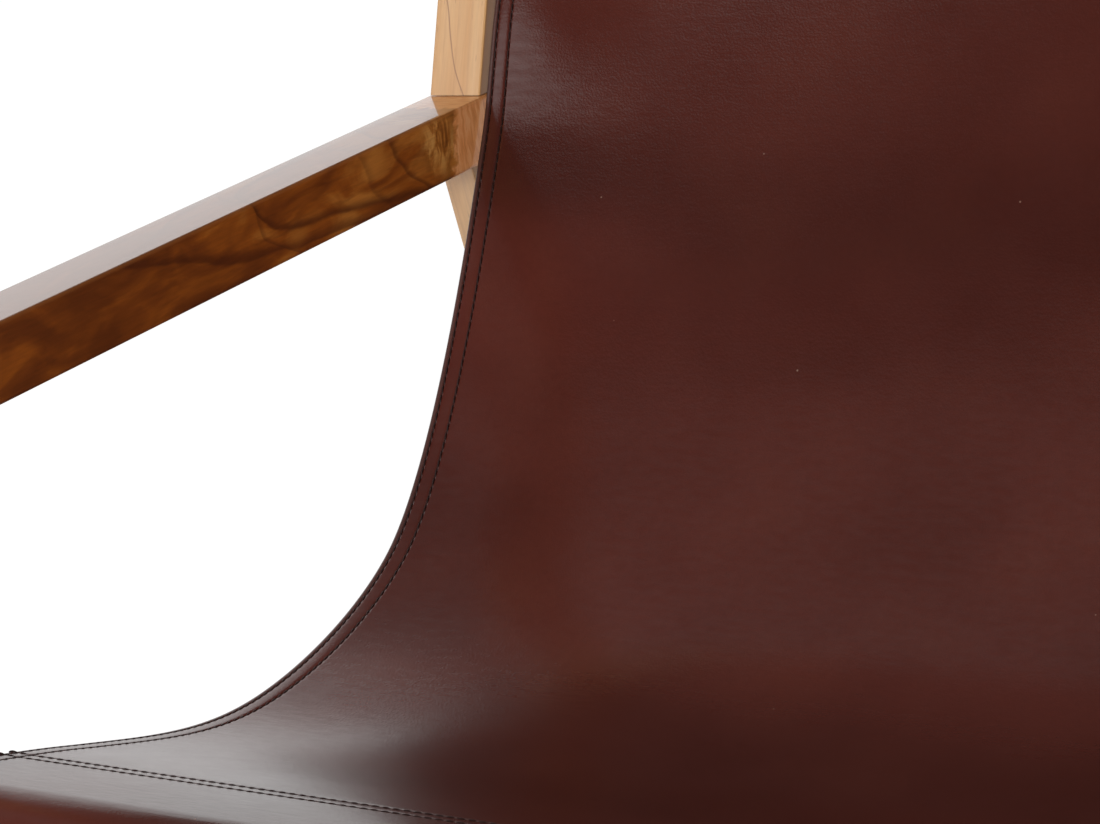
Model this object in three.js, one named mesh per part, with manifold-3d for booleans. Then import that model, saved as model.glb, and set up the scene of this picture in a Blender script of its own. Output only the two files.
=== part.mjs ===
// A leather sling lounge chair: two timber side frames, and the bolted rails between them that carry a sling
// Millimetres. X runs across the chair, Y from its front to its back, and Z up from the floor.
// In the side views below, Y is zero where the front of the back post meets the top of the arm.
import * as THREE from 'three';
import { mergeVertices } from 'three/addons/utils/BufferGeometryUtils.js';
import Module from 'manifold-3d';

const wasm = await Module();
wasm.setup();

// The whole chair
const overall_width = 640;
const arm_top_height = 560;
const back_post_rise = 212;
const joint_gap = 0.3;
const cut_overrun = 2;

// Timber
const timber_ease = 1.5;
const end_round = 5;
const foot_round = 3;
const stretcher_round = 3;
const arm_width = 34;
const arm_depth = 34;
const arm_front_overhang = 16;
const arm_rear_overhang = 8;
const arm_nose_round = 9;
const post_width = 31;
const post_foot_depth = 36;
const post_top_depth = 30;
const post_lean = THREE.MathUtils.degToRad(21.5);
const leg_width = 20;
const leg_top_depth = 44;
const leg_foot_depth = 30;
const rear_leg_step = 8;
const rear_leg_splay = THREE.MathUtils.degToRad(12.3);
const front_leg_rake = THREE.MathUtils.degToRad(6);

// Rails and stretchers
const top_rail_drop = 17;
const top_rail_radius = 14;
const front_rail_drop = 176;
const front_rail_reach = 492;
const front_rail_radius = 16;
const spigot_radius = 9;
const spigot_length = 7;
const rail_ease = 1;
const side_stretcher_height = 165;
const side_stretcher_depth = 30;
const side_stretcher_width = 18;
const rear_stretcher_height = 250;
const rear_stretcher_depth = 46;
const rear_stretcher_width = 20;

// Glued joints
const leg_tenon_width = 11;
const leg_tenon_length = 28;
const leg_tenon_height = 20;
const stretcher_tenon_width = 9;
const stretcher_tenon_height = 18;
const stretcher_tenon_length = 14;
const rear_tenon_length = 7;
const rear_tenon_width = 12;
const rear_tenon_height = 32;
const dowel_radius = 4;
const dowel_point = 1;
const dowel_in_post = 26;
const dowel_in_leg = 28;
const dowel_lean = THREE.MathUtils.degToRad(8.5);
const dowel_setback = 22.5;
const dowel_spacing = 11;
const hole_room = 1.5;

// Bolts, washers and barrel nuts
const bolt_radius = 3;
const bolt_head_radius = 5.2;
const bolt_head_height = 3.3;
const bolt_point = 0.6;
const hex_socket_radius = 2.3;
const hex_socket_depth = 1.9;
const washer_radius = 6.4;
const washer_height = 1.2;
const counterbore_radius = 7;
const leg_counterbore_depth = 5.5;
const post_counterbore_depth = 8;
const nut_radius = 5;
const nut_length = 15;
const nut_inset = 34;
const bolt_past_nut = 4;

// Foot glides
const glide_radius = 8.5;
const glide_height = 4;
const glide_ease = 1;
const glide_pin_radius = 2.4;
const glide_pin_length = 14;

// The sling. Its side view is the sitter's face of the leather.
const sling_side_gap = 1.9;
const leather_thickness = 3.5;
const sling_sag = 8;
const pocket_closes_after = 46;
const pocket_flap_length = 26;
const sling_top_lean = THREE.MathUtils.degToRad(12.8);
const sling_arm_setback = 2;
const sling_arm_rise = 2;
const sling_arm_lean = THREE.MathUtils.degToRad(28.2);
const sling_hip_reach = 142.5;
const sling_hip_drop = 195;
const sling_hip_lean = THREE.MathUtils.degToRad(58.5);
const sling_low_reach = 259;
const sling_low_drop = 221.7;
const sling_front_rise = THREE.MathUtils.degToRad(16);
// How long the two handles of each stretch are, beside the stretch's own length
const sling_handle_shares = [
  [0.40, 0.35],
  [0.31, 0.23],
  [0.21, 0.43],
  [0.29, 0.50],
];

// The bolt heads' dome, as shares of the quarter turn from its rim to its crown
const dome_shares = [0, 0.35, 0.7];

// How many sides and facets the round and curved faces have
const hex_sides = 6;
const ease_facets = 2;
const corner_facets = 4;
const rail_facets = 28;
const hole_facets = 16;
const sling_facets_each = [9, 9, 12, 9];
const pocket_facets = 14;
const sling_strips = 6;

const timber_pale = new THREE.MeshStandardMaterial({ color: 0xc79f72, roughness: 0.22, metalness: 0 });
const timber_dark = new THREE.MeshStandardMaterial({ color: 0x6e3a17, roughness: 0.16, metalness: 0 });
const leather = new THREE.MeshStandardMaterial({ color: 0x4a231d, roughness: 0.42, metalness: 0 });
const dark_steel = new THREE.MeshStandardMaterial({ color: 0x2b2b2d, roughness: 0.4, metalness: 1 });
const plain_steel = new THREE.MeshStandardMaterial({ color: 0x9a9ca0, roughness: 0.35, metalness: 1 });
const nylon = new THREE.MeshStandardMaterial({ color: 0x3a2a20, roughness: 0.5, metalness: 0 });
const beech = new THREE.MeshStandardMaterial({ color: 0xd8b98c, roughness: 0.6, metalness: 0 });

const chair = new THREE.Group();
const sides = { left: -1, right: 1 };

// Places that several pieces share
const half_width = overall_width / 2;
const arm_centre_x = half_width - arm_width / 2;
const arm_bottom_height = arm_top_height - arm_depth;
const post_top_height = arm_top_height + back_post_rise;
const top_rail_height = post_top_height - top_rail_drop;
const front_rail_height = arm_top_height - front_rail_drop;
const leg_inner_x = arm_centre_x - leg_width / 2;
const post_inner_x = arm_centre_x - post_width / 2;
const leg_foot_height = glide_height + joint_gap;
const leg_top_height = arm_bottom_height - joint_gap;
const post_foot_height = arm_top_height + joint_gap;

function addPiece(name, geometry, material) {
  geometry.computeVertexNormals();
  const mesh = new THREE.Mesh(geometry, material.clone());
  mesh.name = name;
  chair.add(mesh);
}

// Booleans: a closed geometry as a solid, and back
function solidOf(geometry) {
  const bare = geometry.clone();
  bare.deleteAttribute('normal');
  bare.deleteAttribute('uv');
  const merged = mergeVertices(bare);
  return new wasm.Manifold(new wasm.Mesh({
    numProp: 3,
    vertProperties: Float32Array.from(merged.attributes.position.array),
    triVerts: Uint32Array.from(merged.index.array),
  }));
}

function geometryOf(solid) {
  const mesh = solid.getMesh();
  const geometry = new THREE.BufferGeometry();
  geometry.setAttribute('position', new THREE.BufferAttribute(Float32Array.from(mesh.vertProperties), 3));
  geometry.setIndex(Array.from(mesh.triVerts));
  return geometry;
}

function cutFrom(solid, cuts) {
  return cuts.reduce((left, cut) => left.subtract(cut), solid);
}

// A side view's points with some corners rounded off, each by its own radius
function roundedOutline(corners, radii) {
  const points = [];
  corners.forEach(([y, z], i) => {
    const corner = new THREE.Vector2(y, z);
    if (radii[i] === 0) {
      points.push(corner);
      return;
    }
    const before = new THREE.Vector2(...corners.at(i - 1)).sub(corner);
    const after = new THREE.Vector2(...corners[(i + 1) % corners.length]).sub(corner);
    const reach = Math.min(radii[i], before.length() / 3, after.length() / 3);
    const from = before.setLength(reach).add(corner);
    const to = after.setLength(reach).add(corner);
    const bend = new THREE.QuadraticBezierCurve(from, corner, to);
    points.push(...bend.getPoints(corner_facets));
  });
  return points;
}

function sharpOutline(corners) {
  return corners.map(([y, z]) => new THREE.Vector2(y, z));
}

// A board seen from the side: its outline in Y and Z, and its width across X, with eased long edges
function board(points, width, centre_x, ease = timber_ease) {
  const geometry = new THREE.ExtrudeGeometry(new THREE.Shape(points), {
    depth: width - 2 * ease,
    bevelEnabled: ease > 0,
    bevelThickness: ease,
    bevelSize: ease,
    bevelOffset: -ease,
    bevelSegments: ease_facets,
  });
  geometry.translate(0, 0, ease - width / 2);
  const side_view = new THREE.Matrix4().makeBasis(
    new THREE.Vector3(0, 1, 0),
    new THREE.Vector3(0, 0, 1),
    new THREE.Vector3(1, 0, 0),
  );
  geometry.applyMatrix4(side_view);
  geometry.translate(centre_x, 0, 0);
  return solidOf(geometry);
}

// A box between two opposite corners
function block(low, high) {
  const size = high.map((value, i) => value - low[i]);
  const geometry = new THREE.BoxGeometry(...size);
  geometry.translate(...low.map((value, i) => value + size[i] / 2));
  return solidOf(geometry);
}

// A round bar along X, Y or Z between two places on that axis
function bar(axis, radius, from, to, centre, facets = hole_facets) {
  const geometry = new THREE.CylinderGeometry(radius, radius, Math.abs(to - from), facets);
  const middle = { ...centre, [axis]: (from + to) / 2 };
  if (axis === 'x') geometry.rotateZ(Math.PI / 2);
  if (axis === 'z') geometry.rotateX(Math.PI / 2);
  geometry.translate(middle.x, middle.y, middle.z);
  return solidOf(geometry);
}

// A turned piece from its half section, a list of [radius, distance along the axis], with its axis along Y
function turned(profile, facets = hole_facets) {
  return new THREE.LatheGeometry(profile.map(([radius, along]) => new THREE.Vector2(radius, along)), facets);
}

// A straight limb in the side view: its middle line, and the depth that it tapers from and to
function limb({ y, z, slope, top, bottom, top_depth, bottom_depth }) {
  const middle = (height) => y + (height - z) * slope;
  const half = (height) => {
    const share = (height - bottom) / (top - bottom);
    return (bottom_depth + (top_depth - bottom_depth) * share) / 2;
  };
  return {
    middle,
    front: (height) => middle(height) - half(height),
    back: (height) => middle(height) + half(height),
  };
}

const post = limb({
  y: post_foot_depth / 2,
  z: arm_top_height,
  slope: Math.tan(post_lean),
  top: post_top_height,
  bottom: arm_top_height,
  top_depth: post_top_depth,
  bottom_depth: post_foot_depth,
});
const rear_leg = limb({
  y: leg_top_depth / 2 - rear_leg_step,
  z: arm_bottom_height,
  slope: -Math.tan(rear_leg_splay),
  top: arm_bottom_height,
  bottom: leg_foot_height,
  top_depth: leg_top_depth,
  bottom_depth: leg_foot_depth,
});
const front_leg = limb({
  y: -front_rail_reach,
  z: front_rail_height,
  slope: Math.tan(front_leg_rake),
  top: arm_bottom_height,
  bottom: leg_foot_height,
  top_depth: leg_top_depth,
  bottom_depth: leg_foot_depth,
});

const top_rail_y = post.middle(top_rail_height);
const arm_front_y = front_leg.front(arm_bottom_height) - arm_front_overhang;
const arm_rear_y = post_foot_depth + arm_rear_overhang;
const dowel_places_y = [-dowel_spacing / 2, dowel_spacing / 2].map((shift) => dowel_setback + shift);
const leg_tenon_y = front_leg.middle(arm_bottom_height);
const rear_stretcher_y = rear_leg.middle(rear_stretcher_height);

// Each bolted rail end: where its leg or post stands, and how the rail and its bolt sit in it
const rail_joints = {
  top_rail: {
    y: top_rail_y,
    z: top_rail_height,
    inner_x: post_inner_x,
    outer_x: post_inner_x + post_width,
    counterbore_depth: post_counterbore_depth,
    nut_axis: 'z',
  },
  front_rail: {
    y: -front_rail_reach,
    z: front_rail_height,
    inner_x: leg_inner_x,
    outer_x: leg_inner_x + leg_width,
    counterbore_depth: leg_counterbore_depth,
    nut_axis: 'z',
  },
  rear_stretcher: {
    y: rear_stretcher_y,
    z: rear_stretcher_height,
    inner_x: leg_inner_x,
    outer_x: leg_inner_x + leg_width,
    counterbore_depth: leg_counterbore_depth,
    nut_axis: 'y',
  },
};
for (const joint of Object.values(rail_joints)) {
  joint.seat_x = joint.outer_x - joint.counterbore_depth;
  joint.washer_x = joint.seat_x + joint_gap;
  joint.head_x = joint.washer_x + washer_height + joint_gap;
  joint.nut_x = joint.inner_x - nut_inset;
  joint.bolt_end_x = joint.nut_x - nut_radius - bolt_past_nut;
}

// The bolt's hole through a leg or post, with the counterbore that its washer and head sit in
function boltCuts(joint, side) {
  const centre = { y: joint.y, z: joint.z };
  const inside = side * (joint.inner_x - cut_overrun);
  const outside = side * (joint.outer_x + cut_overrun);
  return [
    bar('x', bolt_radius + joint_gap, inside, outside, centre),
    bar('x', counterbore_radius, side * joint.seat_x, outside, centre),
  ];
}

// The hole for the bolt in a rail's end, and the cross hole for its barrel nut
function nutCuts(joint, side, hole_from) {
  const centre = { y: joint.y, z: joint.z };
  const nut_centre = { x: side * joint.nut_x, y: joint.y, z: joint.z };
  const past = joint.nut_axis === 'z' ? -1 : 1;
  const blind_end = nut_centre[joint.nut_axis] - past * (nut_length / 2 + hole_room);
  const open_end = nut_centre[joint.nut_axis] + past * hole_from;
  const inside = side * (joint.bolt_end_x - hole_room);
  const outside = side * (joint.outer_x + cut_overrun);
  return [
    bar('x', bolt_radius + joint_gap, inside, outside, centre),
    bar(joint.nut_axis, nut_radius + joint_gap, blind_end, open_end, nut_centre),
  ];
}

function socketCut(joint, side) {
  const centre = { y: joint.y, z: joint.z };
  const mouth = side * (joint.inner_x - cut_overrun);
  const end = side * (joint.inner_x + spigot_length + joint_gap);
  return bar('x', spigot_radius + joint_gap, mouth, end, centre, rail_facets);
}

// The tenon of a side stretcher, or its mortise when it has room round it
function stretcherTenon(leg_face, into, centre_x, room) {
  const low = side_stretcher_height - stretcher_tenon_height / 2 - room;
  const high = side_stretcher_height + stretcher_tenon_height / 2 + room;
  const reach = into * (stretcher_tenon_length + room);
  const root = -into * cut_overrun;
  const corners = [
    [leg_face(low) + root, low],
    [leg_face(low) + reach, low],
    [leg_face(high) + reach, high],
    [leg_face(high) + root, high],
  ];
  if (into < 0) corners.reverse();
  return board(sharpOutline(corners), stretcher_tenon_width + 2 * room, centre_x, 0);
}

function legTenon(centre_x, room) {
  const half_across = leg_tenon_width / 2 + room;
  const half_along = leg_tenon_length / 2 + room;
  return block(
    [centre_x - half_across, leg_tenon_y - half_along, leg_top_height - cut_overrun],
    [centre_x + half_across, leg_tenon_y + half_along, arm_bottom_height + leg_tenon_height + room],
  );
}

// A dowel through the arm, from the leg below to the post above, or its hole when it has room at its ends
function leaningDowel(centre_x, y, radius, point, room) {
  const top = dowel_in_post + room;
  const bottom = -arm_depth - dowel_in_leg - room;
  const profile = [
    [0, bottom],
    [radius - point, bottom],
    [radius, bottom + point],
    [radius, top - point],
    [radius - point, top],
    [0, top],
  ];
  const geometry = turned(profile).rotateX(Math.PI / 2 - dowel_lean);
  geometry.translate(centre_x, y, arm_top_height);
  return solidOf(geometry);
}

function dowelHoles(centre_x) {
  const radius = dowel_radius + joint_gap;
  return dowel_places_y.map((y) => leaningDowel(centre_x, y, radius, dowel_point, hole_room));
}

function glideHole(leg, centre_x) {
  const top = glide_height + glide_pin_length + hole_room;
  return bar('z', glide_pin_radius + joint_gap, 0, top, { x: centre_x, y: leg.middle(leg_foot_height) });
}

// Side frames
function makeArm(side_name, side) {
  const centre_x = side * arm_centre_x;
  const corners = [
    [arm_rear_y, arm_bottom_height],
    [arm_rear_y, arm_top_height],
    [arm_front_y, arm_top_height],
    [arm_front_y, arm_bottom_height],
  ];
  const outline = roundedOutline(corners, [end_round, end_round, arm_nose_round, arm_nose_round]);
  const cuts = [legTenon(centre_x, joint_gap), ...dowelHoles(centre_x)];
  const arm = cutFrom(board(outline, arm_width, centre_x), cuts);
  addPiece(`arm_${side_name}`, geometryOf(arm), timber_dark);
}

// A post or leg is made longer than it has to be and cut off level where it is glued to the arm, so that this
// end keeps its sharp edges
function makeBackPost(side_name, side) {
  const centre_x = side * arm_centre_x;
  const blank_end = post_foot_height - timber_ease;
  const corners = [
    [post.back(blank_end), blank_end],
    [post.back(post_top_height), post_top_height],
    [post.front(post_top_height), post_top_height],
    [post.front(blank_end), blank_end],
  ];
  const outline = roundedOutline(corners, [0, end_round, end_round, 0]);
  const joint = rail_joints.top_rail;
  const cuts = [...boltCuts(joint, side), socketCut(joint, side), ...dowelHoles(centre_x)];
  const blank = board(outline, post_width, centre_x).trimByPlane([0, 0, 1], post_foot_height);
  const back_post = cutFrom(blank, cuts);
  addPiece(`back_post_${side_name}`, geometryOf(back_post), timber_pale);
}

function legBlank(leg, centre_x) {
  const blank_end = leg_top_height + timber_ease;
  const corners = [
    [leg.back(leg_foot_height), leg_foot_height],
    [leg.back(blank_end), blank_end],
    [leg.front(blank_end), blank_end],
    [leg.front(leg_foot_height), leg_foot_height],
  ];
  const outline = roundedOutline(corners, [foot_round, 0, 0, foot_round]);
  return board(outline, leg_width, centre_x).trimByPlane([0, 0, -1], -leg_top_height);
}

function makeRearLeg(side_name, side) {
  const centre_x = side * arm_centre_x;
  const joint = rail_joints.rear_stretcher;
  const cuts = [
    ...boltCuts(joint, side),
    rearStretcherTenon(side, joint_gap),
    ...dowelHoles(centre_x),
    stretcherTenon(rear_leg.front, 1, centre_x, joint_gap),
    glideHole(rear_leg, centre_x),
  ];
  const leg = cutFrom(legBlank(rear_leg, centre_x), cuts);
  addPiece(`rear_leg_${side_name}`, geometryOf(leg), timber_pale);
}

function makeFrontLeg(side_name, side) {
  const centre_x = side * arm_centre_x;
  const joint = rail_joints.front_rail;
  const cuts = [
    ...boltCuts(joint, side),
    socketCut(joint, side),
    stretcherTenon(front_leg.back, -1, centre_x, joint_gap),
    glideHole(front_leg, centre_x),
  ];
  const blank = legBlank(front_leg, centre_x).add(legTenon(centre_x, 0));
  addPiece(`front_leg_${side_name}`, geometryOf(cutFrom(blank, cuts)), timber_pale);
}

function makeSideStretcher(side_name, side) {
  const centre_x = side * arm_centre_x;
  const low = side_stretcher_height - side_stretcher_depth / 2;
  const high = side_stretcher_height + side_stretcher_depth / 2;
  const corners = [
    [rear_leg.front(low) - joint_gap, low],
    [rear_leg.front(high) - joint_gap, high],
    [front_leg.back(high) + joint_gap, high],
    [front_leg.back(low) + joint_gap, low],
  ];
  const stretcher = board(sharpOutline(corners), side_stretcher_width, centre_x)
    .add(stretcherTenon(rear_leg.front, 1, centre_x, 0))
    .add(stretcherTenon(front_leg.back, -1, centre_x, 0));
  addPiece(`side_stretcher_${side_name}`, geometryOf(stretcher), timber_pale);
}

function makeDowels(side_name, side) {
  dowel_places_y.forEach((y, i) => {
    const dowel = leaningDowel(side * arm_centre_x, y, dowel_radius, dowel_point, 0);
    addPiece(`arm_dowel_${side_name}_${i + 1}`, geometryOf(dowel), beech);
  });
}

function makeGlide(name, leg, side) {
  const profile = [
    [0, 0],
    [glide_radius - glide_ease, 0],
    [glide_radius, glide_ease],
    [glide_radius, glide_height],
    [glide_pin_radius, glide_height],
    [glide_pin_radius, glide_height + glide_pin_length],
    [0, glide_height + glide_pin_length],
  ];
  const geometry = turned(profile).rotateX(Math.PI / 2);
  geometry.translate(side * arm_centre_x, leg.middle(leg_foot_height), 0);
  addPiece(name, geometryOf(solidOf(geometry)), nylon);
}

// Rails and stretchers that hold the side frames apart
function makeRoundRail(name, radius) {
  const joint = rail_joints[name];
  const shoulder = joint.inner_x - joint_gap;
  const tip = joint.inner_x + spigot_length;
  const half_profile = [
    [spigot_radius, tip],
    [spigot_radius, shoulder],
    [radius - rail_ease, shoulder],
    [radius, shoulder - rail_ease],
  ];
  const other_half = half_profile.map(([r, along]) => [r, -along]);
  const profile = [[0, -tip], ...other_half, ...half_profile.reverse(), [0, tip]];
  const geometry = turned(profile, rail_facets).rotateZ(-Math.PI / 2);
  geometry.translate(0, joint.y, joint.z);
  const cuts = Object.values(sides).flatMap((side) => nutCuts(joint, side, radius + cut_overrun));
  addPiece(name, geometryOf(cutFrom(solidOf(geometry), cuts)), timber_pale);
}

function leanedWithRearLeg(solid) {
  const turn = THREE.MathUtils.radToDeg(rear_leg_splay);
  return solid
    .translate([0, -rear_stretcher_y, -rear_stretcher_height])
    .rotate([turn, 0, 0])
    .translate([0, rear_stretcher_y, rear_stretcher_height]);
}

function rearStretcherTenon(side, room) {
  const half_y = rear_tenon_width / 2 + room;
  const half_z = rear_tenon_height / 2 + room;
  const ends = [leg_inner_x - cut_overrun, leg_inner_x + rear_tenon_length + room].map((x) => side * x);
  return leanedWithRearLeg(block(
    [Math.min(...ends), rear_stretcher_y - half_y, rear_stretcher_height - half_z],
    [Math.max(...ends), rear_stretcher_y + half_y, rear_stretcher_height + half_z],
  ));
}

function makeRearStretcher() {
  const joint = rail_joints.rear_stretcher;
  const half_y = rear_stretcher_width / 2;
  const half_z = rear_stretcher_depth / 2;
  const corners = [
    [joint.y + half_y, joint.z - half_z],
    [joint.y + half_y, joint.z + half_z],
    [joint.y - half_y, joint.z + half_z],
    [joint.y - half_y, joint.z - half_z],
  ];
  const outline = roundedOutline(corners, corners.map(() => stretcher_round));
  const length = 2 * (leg_inner_x - joint_gap);
  const body = leanedWithRearLeg(board(outline, length, 0));
  const whole = body.add(rearStretcherTenon(sides.left, 0)).add(rearStretcherTenon(sides.right, 0));
  const cuts = Object.values(sides).flatMap((side) => nutCuts(joint, side, half_y + 2 * cut_overrun));
  addPiece('rear_stretcher', geometryOf(cutFrom(whole, cuts)), timber_pale);
}

// Fasteners
function makeBolt(rail_name, side_name, side) {
  const joint = rail_joints[rail_name];
  const shank = joint.head_x - joint.bolt_end_x;
  const dome = dome_shares.map((share) => {
    const angle = share * Math.PI / 2;
    return [bolt_head_radius * Math.cos(angle), shank + bolt_head_height * Math.sin(angle)];
  });
  const profile = [
    [0, 0],
    [bolt_radius - bolt_point, 0],
    [bolt_radius, bolt_point],
    [bolt_radius, shank],
    ...dome,
    [0, dome.at(-1)[1]],
  ];
  const bolt = solidOf(turned(profile));
  const head_top = dome.at(-1)[1];
  const cut_height = hex_socket_depth + cut_overrun;
  const hex = new THREE.CylinderGeometry(hex_socket_radius, hex_socket_radius, cut_height, hex_sides);
  hex.translate(0, head_top - hex_socket_depth + cut_height / 2, 0);
  const geometry = geometryOf(bolt.subtract(solidOf(hex)));
  geometry.rotateZ(-side * Math.PI / 2);
  geometry.translate(side * joint.bolt_end_x, joint.y, joint.z);
  addPiece(`${rail_name}_bolt_${side_name}`, geometry, dark_steel);
}

function makeWasher(rail_name, side_name, side) {
  const joint = rail_joints[rail_name];
  const bore = bolt_radius + joint_gap;
  const profile = [
    [bore, 0],
    [washer_radius, 0],
    [washer_radius, washer_height],
    [bore, washer_height],
    [bore, 0],
  ];
  const geometry = geometryOf(solidOf(turned(profile)));
  geometry.rotateZ(-side * Math.PI / 2);
  geometry.translate(side * joint.washer_x, joint.y, joint.z);
  addPiece(`${rail_name}_washer_${side_name}`, geometry, plain_steel);
}

function makeBarrelNut(rail_name, side_name, side) {
  const joint = rail_joints[rail_name];
  const centre = { x: side * joint.nut_x, y: joint.y, z: joint.z };
  const middle = centre[joint.nut_axis];
  const body = bar(joint.nut_axis, nut_radius, middle - nut_length / 2, middle + nut_length / 2, centre);
  const reach = nut_radius + cut_overrun;
  const hole = bar('x', bolt_radius + joint_gap, centre.x - reach, centre.x + reach, centre);
  addPiece(`${rail_name}_barrel_nut_${side_name}`, geometryOf(body.subtract(hole)), plain_steel);
}

// The sling's side view, from its top rail down the back and along the seat to its front rail
const up = (lean) => new THREE.Vector2(-Math.cos(lean), Math.sin(lean));
const down = (lean) => new THREE.Vector2(-Math.sin(lean), -Math.cos(lean));
const wrap_room = joint_gap + leather_thickness;
const top_rail_centre = new THREE.Vector2(top_rail_y, top_rail_height);
const front_rail_centre = new THREE.Vector2(-front_rail_reach, front_rail_height);
const level_lean = Math.PI / 2;
const front_lean = level_lean + sling_front_rise;
const onRail = (lean, radius, centre) => up(lean).multiplyScalar(radius + wrap_room).add(centre);
const sling_stations = [
  { lean: sling_top_lean, at: onRail(sling_top_lean, top_rail_radius, top_rail_centre) },
  { lean: sling_arm_lean, at: new THREE.Vector2(sling_arm_setback, arm_top_height + sling_arm_rise) },
  { lean: sling_hip_lean, at: new THREE.Vector2(-sling_hip_reach, arm_top_height - sling_hip_drop) },
  { lean: level_lean, at: new THREE.Vector2(-sling_low_reach, arm_top_height - sling_low_drop) },
  { lean: front_lean, at: onRail(front_lean, front_rail_radius, front_rail_centre) },
];

function slingLine() {
  const line = [];
  sling_handle_shares.forEach(([first_share, last_share], i) => {
    const [start, end] = [sling_stations[i], sling_stations[i + 1]];
    const chord = start.at.distanceTo(end.at);
    const stretch = new THREE.CubicBezierCurve(
      start.at,
      down(start.lean).multiplyScalar(chord * first_share).add(start.at),
      down(end.lean).multiplyScalar(-chord * last_share).add(end.at),
      end.at,
    );
    const points = stretch.getPoints(sling_facets_each[i]);
    line.push(...(i === 0 ? points : points.slice(1)));
  });
  return line;
}

// Each point of the line with its distance along it, the way that faces the sitter, and its share of the sag
function slingSheet() {
  const line = slingLine();
  let along = 0;
  const sheet = line.map((at, i) => {
    if (i > 0) along += at.distanceTo(line[i - 1]);
    const ahead = line[Math.min(i + 1, line.length - 1)];
    const behind = line[Math.max(i - 1, 0)];
    const run = ahead.clone().sub(behind).normalize();
    return { at, along, facing: new THREE.Vector2(run.y, -run.x) };
  });
  sheet[0].facing = up(sling_top_lean);
  sheet.at(-1).facing = up(front_lean);
  for (const point of sheet) point.sag = Math.sin(Math.PI * point.along / along) ** 2;
  return sheet;
}

// A point some layers behind the sitter's face
function layer(point, layers) {
  const at = point.facing.clone().multiplyScalar(-layers * leather_thickness).add(point.at);
  return { at, facing: point.facing, sag: point.sag };
}

// The way round a rail, from the sheet's last point to where the leather leaves the rail for a target
function wrapRound(centre, radius, facing, target, turn) {
  const start = facing.angle();
  const aim = target.clone().sub(centre);
  const full = 2 * Math.PI;
  const to_aim = (((aim.angle() - start) * turn) % full + full) % full;
  const sweep = to_aim - Math.acos(radius / aim.length());
  return Array.from({ length: pocket_facets + 1 }, (_, i) => {
    const angle = start + turn * sweep * i / pocket_facets;
    const out = new THREE.Vector2(Math.cos(angle), Math.sin(angle));
    return { at: out.multiplyScalar(radius).add(centre), facing, sag: 0 };
  });
}

// One end pocket: the leather goes round the rail, comes back behind the sheet and is sewn to it
function pocket(from_end, rail_centre, rail_radius, turn) {
  const total = from_end.at(-1).along + from_end[0].along;
  const distance = (point) => Math.abs(point.along - from_end[0].along);
  const closes = from_end.findIndex((point) => distance(point) >= Math.min(pocket_closes_after, total));
  const ends = from_end.findIndex((point) => distance(point) >= pocket_closes_after + pocket_flap_length);
  const closing = from_end[closes];
  const outer_radius = rail_radius + joint_gap + leather_thickness;
  const inner_radius = rail_radius + joint_gap;
  const outer_arc = wrapRound(rail_centre, outer_radius, from_end[0].facing, layer(closing, 2).at, turn);
  const inner_arc = wrapRound(rail_centre, inner_radius, from_end[0].facing, layer(closing, 1).at, turn);
  const flap = from_end.slice(closes, ends + 1).map((point) => layer(point, 2));
  const hole_side = from_end.slice(1, closes + 1).map((point) => layer(point, 1)).reverse();
  return { ends, outer: [...outer_arc.slice(1), ...flap], hole: [...inner_arc, ...hole_side] };
}

function slingSection() {
  const sheet = slingSheet();
  const top = pocket(sheet, top_rail_centre, top_rail_radius, -1);
  const front = pocket([...sheet].reverse(), front_rail_centre, front_rail_radius, 1);
  const last = sheet.length - 1;
  const back_face = sheet.slice(top.ends, last - front.ends + 1).map((point) => layer(point, 1)).reverse();
  const sitter_face = sheet.map((point) => layer(point, 0));
  const outer = [...sitter_face, ...front.outer, ...back_face, ...top.outer.reverse()];
  return { outer, holes: [top.hole, front.hole.reverse()] };
}

function makeSling() {
  const { outer, holes } = slingSection();
  const rings = [outer, ...holes];
  const section = rings.flat();
  const sling_width = 2 * (half_width - arm_width - sling_side_gap);
  const positions = [];
  for (let strip = 0; strip <= sling_strips; strip += 1) {
    const across = 2 * strip / sling_strips - 1;
    const sag = sling_sag * (1 - across ** 2);
    for (const { at, facing, sag: share } of section) {
      const place = facing.clone().multiplyScalar(-sag * share).add(at);
      positions.push(across * sling_width / 2, place.x, place.y);
    }
  }
  const index = [];
  const count = section.length;
  let start = 0;
  for (const ring of rings) {
    for (let strip = 0; strip < sling_strips; strip += 1) {
      for (let i = 0; i < ring.length; i += 1) {
        const here = strip * count + start + i;
        const next = strip * count + start + (i + 1) % ring.length;
        index.push(here, next, next + count, here, next + count, here + count);
      }
    }
    start += ring.length;
  }
  const places = (ring) => ring.map(({ at }) => at);
  const faces = THREE.ShapeUtils.triangulateShape(places(outer), holes.map(places));
  const far_end = sling_strips * count;
  for (const [a, b, c] of faces) index.push(a, c, b, far_end + a, far_end + b, far_end + c);
  const geometry = new THREE.BufferGeometry();
  geometry.setAttribute('position', new THREE.Float32BufferAttribute(positions, 3));
  geometry.setIndex(index);
  addPiece('leather_sling', geometry, leather);
}

for (const [side_name, side] of Object.entries(sides)) {
  makeArm(side_name, side);
  makeBackPost(side_name, side);
  makeRearLeg(side_name, side);
  makeFrontLeg(side_name, side);
  makeSideStretcher(side_name, side);
  makeDowels(side_name, side);
  makeGlide(`front_glide_${side_name}`, front_leg, side);
  makeGlide(`rear_glide_${side_name}`, rear_leg, side);
}
makeRoundRail('top_rail', top_rail_radius);
makeRoundRail('front_rail', front_rail_radius);
makeRearStretcher();
for (const rail_name of Object.keys(rail_joints)) {
  for (const [side_name, side] of Object.entries(sides)) {
    makeBolt(rail_name, side_name, side);
    makeWasher(rail_name, side_name, side);
    makeBarrelNut(rail_name, side_name, side);
  }
}
makeSling();

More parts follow.
